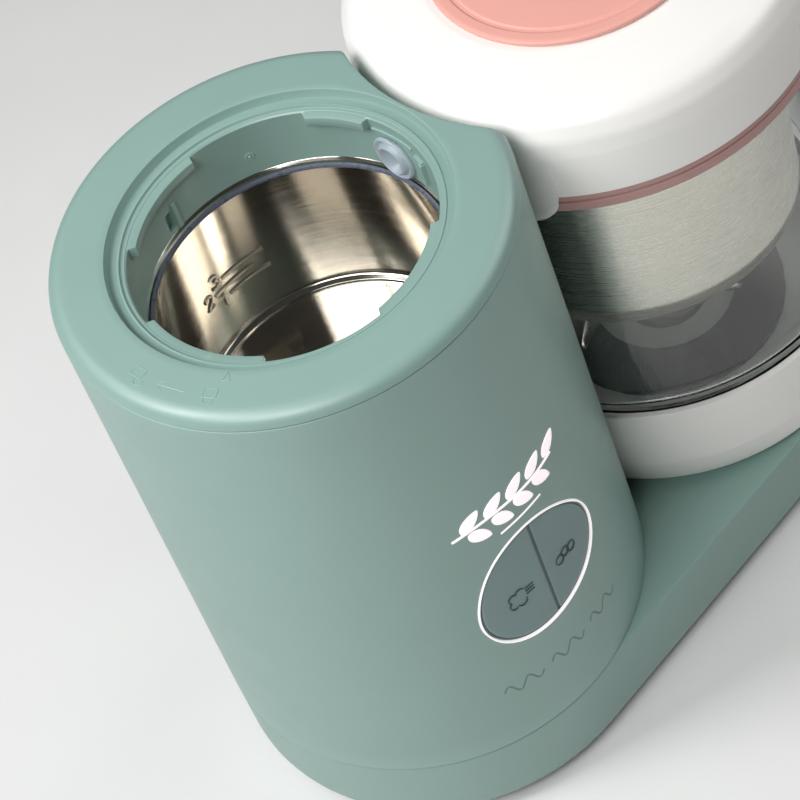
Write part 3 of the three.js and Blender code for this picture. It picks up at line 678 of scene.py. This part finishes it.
def build_steam_seal():
    steps = [
        (61.9, 4.4, 4.4), (55.2, 4.4, 4.4), (54.2, 5.0, 5.0), (53.7, 8.6, 8.5), (52.9, 9.2, 9.1),
        (52.2, 9.0, 8.9), (51.8, 8.4, 8.2), (52.2, 7.8, 7.6), (52.4, 7.2, 6.9), (51.8, 6.8, 6.4),
        (51.0, 6.4, 5.9), (50.7, 5.9, 5.2), (51.0, 5.5, 4.5), (51.8, 5.1, 3.6), (52.5, 4.8, 2.6),
        (53.4, 4.4, 1.7), (55.2, 4.1, 1.4), (61.9, 4.0, 1.4),
    ]
    ring = loft([grommet_ring(*step) for step in steps], closed=True)
    piece("steam_grommet", *ring, CLEAR_SOFT, "root", ("steam_outlet_seal",), 50)


# ------------------------ keys
def pebble_radius(angle):
    """The key pad's outline: a circle that is a little oval and a little three-cornered."""
    oval = 0.45 * math.cos(2 * (angle - math.radians(9.6)))
    corner = 1.36 * math.cos(3 * (angle + math.radians(17.9)))
    return (28.19 + oval + corner) * MM


def pebble_points(inset, count=128):
    points = []
    for angle in circle(count):
        r = pebble_radius(angle) - inset
        points.append((KEYS.x - TOWER.x + r * math.cos(angle), KEYS.z + r * math.sin(angle)))
    return points


def pebble_prism(inset, y0, y1):
    loops = [[Vector((TOWER.x + x, y, z)) for x, z in pebble_points(inset)] for y in (y0, y1)]
    return loft(loops, caps=(True, True))


def on_front(x, z, lift):
    """A point on the tower's front by its sideways place, not its distance round."""
    radius = tower_radius(z)
    y = -math.sqrt(radius ** 2 - x ** 2)
    out = Vector((x, y, 0)).normalized()
    return Vector((TOWER.x + x, y, z)) + out * lift


def behind_front(x, z, depth):
    """A point straight behind the tower's front, the way a key moves."""
    return on_front(x, z, 0) + Vector((0, depth, 0))


def build_bezel():
    """The pale ring round the keys, which has a painted glow, and the web and step ring between and behind
    them, made dark to paint the shade in the gaps.
    """
    ring = []
    for inset, lift in ((0.05, 0.2), (0.12, 0.36), (0.28, 0.45), (0.5, 0.43), (0.65, 0.32), (0.74, 0.1)):
        ring.append([on_front(x, z, lift * MM) for x, z in pebble_points(inset * MM)])
    for inset, depth in ((0.78, 0.9 * MM), (0.78, KEY_DEPTH), (0.05, KEY_DEPTH)):
        ring.append([behind_front(x, z, depth) for x, z in pebble_points(inset * MM)])
    web = []
    for up in range(-26, 27, 4):
        web.append([behind_front(DIVIDER + side * 0.56 * MM, KEYS.z + up * MM, depth)
                    for side, depth in ((-1, KEY_DEPTH), (-1, 0.9 * MM), (1, 0.9 * MM), (1, KEY_DEPTH))])
    step = []
    for inset, depth in ((0.8, KEY_DEPTH), (0.8, 0.75 * MM), (0.9, 0.65 * MM), (1.58, 0.65 * MM),
                         (1.68, 0.75 * MM), (1.68, KEY_DEPTH)):
        step.append([behind_front(x, z, depth) for x, z in pebble_points(inset * MM)])
    # the web and step ring are dark to paint the shade in the gaps between the keys and round them
    dark = join([loft(web, caps=(True, True)), loft(step, closed=True)])
    piece("key_divider", *dark, DARK_PLASTIC_AND_GAP_SHADE, "root", (), 45)
    # the bezel's material has a painted glow, so the ring looks brightly lit
    piece("key_bezel", *loft(ring, closed=True), BEZEL, "root", ("control_bezel",), 45)


def half_outline(side):
    """One key's outline: half of the pebble, cut off at the divider."""
    split = DIVIDER + side * 0.66 * MM
    points = [p for p in pebble_points(1.85 * MM, 240) if side * (p[0] - split) > 0]
    points.sort(key=lambda p: math.atan2(p[1] - KEYS.z, side * (p[0] - split)))
    top = points[-1][1]
    low = points[0][1]
    return points + [(split, top + (low - top) * k / 30) for k in range(31)]


def build_key(side, body):
    """One key: upright walls, a rounded edge and a dished top."""
    base = half_outline(side)
    cx = sum(p[0] for p in base) / len(base)
    cz = sum(p[1] for p in base) / len(base)
    half = 13 * MM
    rings = [[behind_front(x, z, depth * MM) for x, z in base] for depth in (4.0, 0.6)]
    rows = [(1 - inset * MM / half, lift) for inset, lift in ((0.08, -0.38), (0.25, -0.26), (0.6, -0.2))]
    rim = rows[-1][0]
    rows += [(rim * (1 - k / 10), -0.2 - 0.35 * math.sin(math.pi / 2 * k / 10)) for k in range(1, 10)]
    for share, lift in rows:
        rings.append([on_front(cx + (x - cx) * share, cz + (z - cz) * share, lift * MM) for x, z in base])
    piece(body + "_pad", *loft(rings, caps=(True, True)), KEY_PAD, body, (body,), 40)


def curve_points(shape, steps=24):
    """Points along a circle or arc: (cx, cy, radius, from, to) in millimetres and degrees."""
    cx, cy, radius, start, end = shape
    angles = [math.radians(start + (end - start) * k / steps) for k in range(steps + 1)]
    return [(cx + radius * math.cos(angle), cy + radius * math.sin(angle)) for angle in angles]


def drawn(lines, place, normal, width, height, power=1.0):
    """Raised lines from (u, v) outlines in millimetres."""
    parts = []
    for line in lines:
        points = [place(u * MM, v * MM) for u, v in line]
        normals = [normal(u * MM, v * MM) for u, v in line]
        parts.append(stroke(points, normals, width * MM, height * MM, power))
    return join(parts)


def build_key_marks():
    """A puff of steam on one key and three rings on the other."""
    def place(u, v):
        return on_tower(u, v, -0.36 * MM)

    z = KEYS.z / MM - 3.0
    x = -14.6
    cloud = [curve_points(lobe) for lobe in (
        (x - 2.3, z + 1.7, 1.9, 55, 235), (x - 2.5, z - 1.9, 2.0, 120, 300),
        (x + 0.9, z - 2.6, 2.0, 195, 375), (x + 0.8, z + 2.4, 1.9, 20, 170))]
    lines = [[(x + 3.2, z + 2.6 - 1.6 * k), (x + 7.0, z + 2.6 - 1.6 * k)] for k in range(3)]
    piece("steam_mark", *drawn(cloud + lines, place, tower_normal, 0.4, 0.3), KEY_MARK, "steam_key")
    x = 9.6
    loops = [curve_points((x + dx, z + dz, 2.1, 0, 360)) for dx, dz in ((-3.4, -0.6), (0, 0.4), (3.4, -0.6))]
    piece("blend_mark", *drawn(loops, place, tower_normal, 0.42, 0.3), KEY_MARK, "blend_key")


def leaf(u, v, length, width, turn):
    """A leaf-shaped outline, pointed at both ends."""
    c, s = math.cos(turn), math.sin(turn)
    points = []
    for t in circle(20):
        x = length / 2 * math.cos(t)
        y = width / 2 * math.sin(t) * (1 - 0.25 * math.cos(t)) * abs(math.sin(t)) ** 0.3
        points.append((u + x * c - y * s, v + x * s + y * c))
    return points


def build_motif():
    """A plain sprig of leaves and a line under it."""
    def place(u, v, lift):
        return on_tower(u * MM, v * MM, lift * MM)

    middle_u = -4.5
    middle_v = 160
    tilt = math.radians(38)
    parts = []
    for k in range(5):
        u = middle_u - 20 + 10 * k
        parts.append(plate(leaf(u + 3.2, middle_v + 4.6, 10.5, 5.4, tilt), place, 0.5))
        if k < 4:
            parts.append(plate(leaf(u + 5.2, middle_v - 4.6, 10.5, 5.4, -tilt), place, 0.5))
    stem = [(middle_u - 25 + 48 * k / 30, middle_v + 0.6 * math.sin(k / 5)) for k in range(31)]
    line = [(-12.2 + 19.9 * k / 16, 148.9) for k in range(17)]
    parts.append(drawn([stem], on_tower, tower_normal, 1.1, 0.5))
    parts.append(drawn([line], on_tower, tower_normal, 0.8, 0.35))
    # the motif's material has a painted glow, so the leaves look brightly lit
    piece("sprig_motif", *join(parts), MOTIF, "root")


def build_wave():
    """A plain steam wave pressed into the front under the keys, drawn as barely raised lines whose darker
    colour paints the shade in the groove.
    """
    lines = []
    for row in range(3):
        start = -33 + 21 * row
        lines.append([(start + 17 * k / 40, 68 + 2.6 * math.sin(2 * math.pi * k / 20)) for k in range(41)])
    piece("steam_wave", *drawn(lines, on_tower, tower_normal, 0.9, 0.06), PAINTED_GROOVE_SHADE, "root")


# ------------------------ marks on the cover and in the tank
DIGITS = {
    1: [[(-0.22, 0.28), (-0.05, 0.38), (0.08, 0.5), (0.08, -0.5)]],
    2: [[(-0.3, 0.22), (-0.25, 0.38), (-0.1, 0.48), (0.1, 0.48), (0.26, 0.36), (0.28, 0.2), (0.18, 0.02),
         (-0.06, -0.22), (-0.3, -0.46), (0, -0.46), (0.32, -0.46)]],
    3: [[(-0.28, 0.34), (-0.14, 0.47), (0.08, 0.48), (0.25, 0.36), (0.26, 0.2), (0.14, 0.07), (-0.05, 0.04)],
        [(-0.05, 0.04), (0.16, 0), (0.3, -0.14), (0.3, -0.32), (0.16, -0.46), (-0.08, -0.49), (-0.3, -0.36)]],
}


def build_tank_marks():
    """Three level lines and their digits, embossed on the tank's wall."""
    radius = TANK_RADIUS - 0.1 * MM

    def place(u, v):
        return Vector((TOWER.x, 0, v)) + outward(math.radians(u / MM)) * radius

    def inward(u, v):
        return -outward(math.radians(u / MM))

    # Each mark: the digit, the bearings where its line starts and ends, how far the line is below the
    # tower's top, and the digit's bearing and lift over the line.
    marks = ((3, 90.6, 70.4, 61.5, 94.4, 1.5), (2, 96.4, 76.2, 66.0, 100.2, 0.4),
             (1, 89.9, 69.8, 70.5, 93.4, -0.3))
    wide, tall = 6.4, 5.9
    parts = []
    for digit, start, end, drop, at, lift in marks:
        level = TOP / MM - drop
        line = [(start + (end - start) * k / 24, level) for k in range(25)]
        glyph = [[(at - x * wide, level + lift + y * tall) for x, y in run] for run in DIGITS[digit]]
        parts.append(drawn([line], place, inward, 1.3, 0.6, 0.4))
        parts.append(drawn(glyph, place, inward, 1.15, 0.6, 0.5))
    piece("level_marks", *join(parts), MARK_STEEL, "root")


def shackle(shift):
    """A lock's bow, moved sideways when the lock is open."""
    bow = curve_points((shift, 2.0, 1.7, 0, 180))
    return [(shift + 1.7, 1.0)] + bow + [(shift - 1.7, 1.0)]


def build_lock_marks():
    """An open lock, an arrow, a closed lock and a pointer, raised on the cover."""
    def up(u, v):
        return Vector((0, 0, 1))

    case = [(-2.4, 1), (-2.4, -2.6), (2.4, -2.6), (2.4, 1), (-2.4, 1)]
    parts = []
    for bearing, lines in (
        (183, [case, shackle(2.3)]),
        (206, [case, shackle(0)]),
        (194.5, [[(-5.5, 0), (5.5, 0)], [(-2.8, 2.2), (-5.5, 0), (-2.8, -2.2)]]),
        (209.2, [[(-1.3, -6.0), (0, -9.6), (1.3, -6.0), (-1.3, -6.0)]]),
    ):
        out = outward(math.radians(bearing))
        side = Vector((-out.y, out.x, 0))

        def place(u, v):
            return Vector((TOWER.x, 0, TOP)) + out * (71 * MM + v) + side * u

        parts.append(drawn(lines, place, up, 0.5, 0.16))
    piece("lock_marks", *join(parts), BODY, "root")


# ------------------------ bowl
def build_glass():
    profile = [
        (13, 55, 0.6), (58, 55, 6), (72.4, 60.6, 10), (80.2, 74, 12), (80.2, 86.4, 1.2), (82.2, 88.2, 0.6),
        (82.3, 89.6, 0.4), (83.1, 90.6, 0.6), (83.1, 92.6, 0.6), (82.4, 93.8, 0.5), (82.5, 210, 1.6),
        (78.2, 210, 1.6), (78.0, 84, 14), (73.5, 68.5, 10), (60, 62.4, 8), (17.5, 62, 0.8), (13, 62, 0.5),
        (13, 55),
    ]
    turned_piece("glass_jar", profile, BOWL, GLASS, "bowl", ("glass_bowl",), 256, 10)


def build_collar():
    profile = [
        (74.6, 38.4, 0.4), (76.8, 38.4, 1.6), (80.6, 41.6, 5), (82.8, 54, 10), (83.5, 70, 20),
        (83.5, 85.2, 0.9), (80.9, 85.2, 0.6), (80.9, 61, 3), (76, 54, 4), (70, 52, 2), (18.5, 52, 0.5),
        (18.5, 49, 0.5), (71.6, 49, 1), (74.6, 38.4),
    ]
    turned_piece("collar", profile, BOWL, WHITE, "bowl", ("bowl_collar",), 200, 8)


def handle_section(point, along, width, depth):
    """A rounded oblong across the handle's path, which lies in the plane y = 0."""
    side = Vector((0, 1, 0))
    out = along.cross(side).normalized()
    square = 0.55
    return [point + side * signed_power(math.cos(angle), square) * width / 2
            + out * signed_power(math.sin(angle), square) * depth / 2 for angle in circle(36)]


def handle_path():
    """Points along the handle's middle, close together, from the top of the grip to the collar."""
    low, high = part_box("bowl_handle")
    near = low[0] - 3.9 * MM
    far = high[0] - 6 * MM
    top = high[2] - 6.5 * MM
    foot = low[2] + 9 * MM
    path = rounded([(near, top), (far, top, 22 * MM), (far - 2 * MM, foot, 16 * MM),
                    (BOWL.x + COLLAR_RADIUS - 3 * MM, foot)], 12)
    dense = []
    for a, b in zip(path, path[1:]):
        steps = max(1, int((b - a).length / (4 * MM)))
        dense += [a.lerp(b, k / steps) for k in range(steps)]
    return dense + [path[-1]]


def build_handle():
    """The handle, deeper towards its foot, and cut to the collar's round wall."""
    width, slim, deeper, from_share = 23 * MM, 11.5 * MM, 5.5 * MM, 0.78
    path = handle_path()
    last = len(path) - 1
    rings = []
    for i, p in enumerate(path):
        before = path[max(i - 1, 0)]
        after = path[min(i + 1, last)]
        along = Vector((after.x - before.x, 0, after.y - before.y)).normalized()
        depth = slim + deeper * max(0, i / last - from_share) / (1 - from_share)
        rings.append(handle_section(Vector((p.x, 0, p.y)), along, width, depth))
    handle = piece("handle", *loft(rings, caps=(True, True)), WHITE, "bowl", ("bowl_handle",), 50)
    cut(handle, *turned([(0, 0), (COLLAR_RADIUS, 0), (COLLAR_RADIUS, 0.3), (0, 0.3)], BOWL, 128))


def build_basket():
    profile = [
        (0, 112), (50, 112, 3), (63, 116.5, 8), (66.4, 128, 10), (68, 208, 2), (68.4, 210.35, 0.8),
        (80.2, 210.35, 0.4), (80.2, 211.2, 0.4), (67.1, 211.2, 0.9), (67.1, 206, 1), (65.5, 128.4, 10),
        (62.4, 117.4, 8), (50, 112.9, 3), (0, 112.9),
    ]
    basket = turned_piece("basket", profile, BOWL, BASKET_STEEL, "basket", ("steam_basket",), 192, 10)
    punch = [(0, 105 * MM), (1.5 * MM, 105 * MM), (1.5 * MM, 116 * MM), (0, 116 * MM)]
    holes = []
    for radius, count in ((9, 6), (17, 12), (25, 18), (33, 24), (41, 30), (49, 36)):
        for angle in circle(count):
            holes.append(turned(punch, Vector((BOWL.x, 0, 0)) + outward(angle) * radius * MM, 10))
    cut(basket, *join(holes))


def build_blade_wing(turn, tilt):
    """One wing of the blade: it narrows and sweeps back along its length, and is tilted up or down."""
    section = ((-0.5, 0.1), (-0.42, 0.9), (0.1, 1.0), (0.5, 0.15), (0.5, -0.15), (0.1, -1.0), (-0.42, -0.9),
               (-0.5, -0.1))
    thick = 0.8 * MM
    along = outward(turn)
    side = Vector((-along.y, along.x, 0))
    rings = []
    for i in range(25):
        share = i / 24
        reach = (10 + 36 * share) * MM
        wide = (13.5 - 11 * share ** 1.5) * MM
        sweep = 4.5 * MM * math.sin(math.pi * share)
        rise = BLADE_HEIGHT - math.tan(tilt) * max(reach - 15 * MM, 0)
        centre = Vector((BOWL.x, 0, rise)) + along * reach
        rings.append([centre + side * (across * wide - sweep) + Vector((0, 0, up * thick))
                      for across, up in section])
    return loft(rings, caps=(True, True))


def build_blade():
    """Four wings, two tilted down and two up, on a washer."""
    wings = [build_blade_wing(math.pi / 2 * k, math.radians(-20 if k % 2 else 14)) for k in range(4)]
    inner, outer = 11.3 * MM, 15.5 * MM
    low, high = BLADE_HEIGHT - 0.8 * MM, BLADE_HEIGHT + 0.8 * MM
    washer = turned([(inner, low, 0.2 * MM), (outer, low, 0.3 * MM), (outer, high, 0.3 * MM),
                     (inner, high, 0.2 * MM), (inner, low)], BOWL, 64)
    piece("blade_wings", *join(wings + [washer]), BLADE_STEEL, "blades", ("blade",), 30)


def build_blade_hub():
    profile = [(0, 92.4), (4.4, 92.4), (4.4, 67.0), (11, 67, 0.8), (11, 80, 1.2), (9.6, 90, 3), (7, 95, 3),
               (3, 97, 2), (0, 97)]
    turned_piece("hub_cap", profile, BOWL, WHITE, "blades", ("blade_hub",), 64)


# ------------------------ lid and cap
def build_lid():
    profile = [
        (84.05, 212.2, 0.1), (84.45, 212.2, 0.2), (84.5, 231, 12), (83.9, 238.5, 9), (80.6, 245, 9),
        (74, 248.2, 14), (60, 250.1, 20), (53.2, 250.6, 0.8), (51.8, 250.6, 0.4), (40, 250.6, 0.4),
        (40, 248, 0.4), (51.5, 247.4, 6), (67, 246.0, 10), (76, 243.0, 6), (79.6, 238.6, 5), (81.5, 231, 5),
        (81.5, 213.3, 0.3), (84.05, 213.3, 0.1), (84.05, 212.2),
    ]
    lid = turned_piece("lid", profile, BOWL, WHITE, "lid", ("lid_shell",), 256, 12)
    radius = 3.2 * MM
    hole = [[Vector((BOWL.x + x, radius * math.cos(angle), PORT + radius * math.sin(angle)))
             for angle in circle(32)] for x in (-90 * MM, -76 * MM)]
    cut(lid, *loft(hole, caps=(True, True)))


def build_apron():
    """The lid's skirt that faces the tower and guides the steam in."""
    count = 96
    start, end = math.radians(146), math.radians(214)
    inner, outer = 84.3 * MM, 85.45 * MM
    hem, drop, corner = 213.0 * MM, 12.2 * MM, 12.0 * MM
    top = 228 * MM
    rings = []
    for k in range(count + 1):
        share = k / count
        from_end = min(share, 1 - share) * (end - start) * 85 * MM
        t = min(from_end / corner, 1.0)
        low = hem - drop * math.sqrt(1 - (1 - t) ** 2)
        section = (
            (inner - 0.3 * MM, top), (inner + 0.1 * MM, top), (outer - 0.55 * MM, top - 6 * MM),
            (outer - 0.1 * MM, top - 12 * MM), (outer, min(low + 4 * MM, top - 14 * MM)),
            (outer, low + 0.5 * MM), (outer - 0.3 * MM, low + 0.05 * MM), (inner, low),
        )
        out = outward(start + (end - start) * share)
        rings.append([Vector((BOWL.x, 0, z)) + out * r for r, z in section])
    piece("lid_apron", *loft(rings, caps=(True, True)), WHITE, "lid", (), 50)


def build_lid_seal():
    profile = [
        (82.95, 204.3, 0.3), (83.9, 204.3, 0.4), (83.9, 208.2, 0.3), (83.05, 208.4, 0.1), (83.05, 209.1, 0.1),
        (83.9, 209.3, 0.3), (83.9, 213.0, 0.3), (76, 213.0, 0.3), (76, 211.7, 0.3), (82.95, 211.7, 0.2),
        (82.95, 204.3),
    ]
    turned_piece("lid_gasket", profile, BOWL, PINK_SOFT, "lid", ("lid_seal",), 200, 4)


def build_cap():
    profile = [
        (0, 250.4), (37.6, 250.4, 0.5), (37.6, 243, 0.4), (39.6, 243, 0.4), (39.6, 250.8, 0.3),
        (50.8, 250.85, 0.6), (51.0, 252.6, 0.9), (49.6, 253, 0.8), (46.4, 253, 0.6), (45.6, 252.3, 0.5),
        (44.4, 252.3, 0.5), (43.6, 252.75, 0.6), (20, 252.95, 8), (0, 252.95),
    ]
    turned_piece("cap_disc", profile, BOWL, PINK, "cap", ("lid_cap",), 200, 6)


# ------------------------ carried-over CAD nodes
CARRIED = (
    (DARK_PLASTIC_AND_GAP_SHADE, "base_cover"),
    (RUBBER, "cord_gland drive_belt bowl_gasket"),
    (NYLON, "tank_clamp interlock_pin motor_fan motor_pulley driven_pulley drive_coupling"),
    (NYLON, "bush_nut blade_coupling"),
    (CAST, "heater_plate thermostat_1 thermostat_2 motor_frame_lower motor_frame_upper"),
    (INNER_STEEL, "heating_element motor_stator motor_bearing_lower motor_bearing_upper motor_rotor"),
    (INNER_STEEL, "drive_shaft blade_shaft base_screw_1 base_screw_2 base_screw_3 base_screw_4"),
    (BLACK, "steam_switch blend_switch interlock_switch"),
    (BRONZE, "drive_bush blade_bush"),
    (BOARD, "control_board"),
)


def finish_carried():
    """Gives the hidden CAD nodes that stay as they are their materials."""
    for material, nodes in CARRIED:
        for node in nodes.split():
            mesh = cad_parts[node].data
            mesh.materials.clear()
            mesh.materials.append(material)


# ------------------------ studio
def softbox(name, bearing, elevation, width, height, power):
    """A rectangular soft light aimed at the object from a bearing and an elevation in degrees."""
    aim = Vector((0, 0, 0.12))
    up = math.radians(elevation)
    out = outward(math.radians(bearing)) * math.cos(up) + Vector((0, 0, math.sin(up)))
    data = bpy.data.lights.new(name, "AREA")
    data.shape = "RECTANGLE"
    data.size = width
    data.size_y = height
    data.energy = power
    obj = bpy.data.objects.new(name, data)
    obj.location = aim + out * LIGHT_DISTANCE
    obj.rotation_mode = "QUATERNION"
    obj.rotation_quaternion = (-out).to_track_quat("-Z", "Y")
    bpy.context.scene.collection.objects.link(obj)


def build_backdrop():
    """A pale backdrop behind the object that itself gives little light."""
    world = bpy.data.worlds.new("studio")
    world.use_nodes = True
    tree = world.node_tree
    dim = tree.nodes["Background"]
    dim.inputs["Color"].default_value = (1.0, 0.99, 0.97, 1)
    dim.inputs["Strength"].default_value = 0.05
    pale = tree.nodes.new("ShaderNodeBackground")
    pale.inputs["Color"].default_value = (0.76, 0.76, 0.75, 1)
    path = tree.nodes.new("ShaderNodeLightPath")
    seen = math_node(tree, "ShaderNodeMath", "MAXIMUM", path, "Is Camera Ray")
    link(tree, path, "Is Transmission Ray", seen, 1)
    mix = tree.nodes.new("ShaderNodeMixShader")
    link(tree, seen, "Value", mix, 0)
    link(tree, dim, "Background", mix, 1)
    link(tree, pale, "Background", mix, 2)
    link(tree, mix, "Shader", tree.nodes["World Output"], "Surface")
    bpy.context.scene.world = world


def build_studio():
    build_backdrop()
    softbox("right", 342, 43, 0.95, 0.70, 5.2)
    softbox("back_left", 158, 50, 0.28, 0.60, 7.6)
    softbox("front_left", 203, 46, 0.70, 0.50, 8.2)
    softbox("back", 118, 52, 0.40, 0.45, 1.6)
    corners = ((-4, -4), (4, -4), (4, 4), (-4, 4))
    slab = loft([[Vector((x, y, z)) for x, y in corners] for z in (-0.01, 0)], caps=(True, True))
    floor = new_object("floor", *slab)
    floor.data.materials.append(moulded("studio_floor", (0.70, 0.70, 0.695), 0.6, 200.0, 0.02))


def build_camera():
    """The photo's viewpoint: from above the front left, rolled to the right."""
    azimuth = math.radians(-29.87)
    elevation = math.radians(49.60)
    roll = math.radians(22.2)
    distance = 905.7 * MM
    aim = Vector((TOWER.x, TOWER.y, TOP)) + Vector((-31.7, -86.4, 0)) * MM
    back = outward(azimuth - math.pi / 2) * math.cos(elevation) + Vector((0, 0, math.sin(elevation)))
    right = outward(azimuth)
    up = back.cross(right)
    rolled_right = right * math.cos(roll) - up * math.sin(roll)
    rolled_up = right * math.sin(roll) + up * math.cos(roll)
    data = bpy.data.cameras.new("camera")
    data.sensor_width = 36
    data.lens = 131.5
    camera = bpy.data.objects.new("camera", data)
    bpy.context.scene.collection.objects.link(camera)
    camera.location = aim + back * distance
    turn = Matrix((rolled_right, rolled_up, back)).transposed()
    camera.rotation_mode = "QUATERNION"
    camera.rotation_quaternion = turn.to_quaternion()
    bpy.context.scene.camera = camera


for build in (build_camera, build_studio, build_base, build_feet, build_tower_shell, build_tower_top,
              build_neck_details, build_tank, build_tank_seal, build_steam_seal, build_bezel):
    build()
build_key(-1, "steam_key")
build_key(1, "blend_key")
for build in (build_key_marks, build_motif, build_wave, build_tank_marks, build_lock_marks, build_glass,
              build_collar, build_handle, build_basket, build_blade, build_blade_hub, build_lid, build_apron,
              build_lid_seal, build_cap, finish_carried):
    build()

bpy.context.scene.view_settings.view_transform = "Standard"
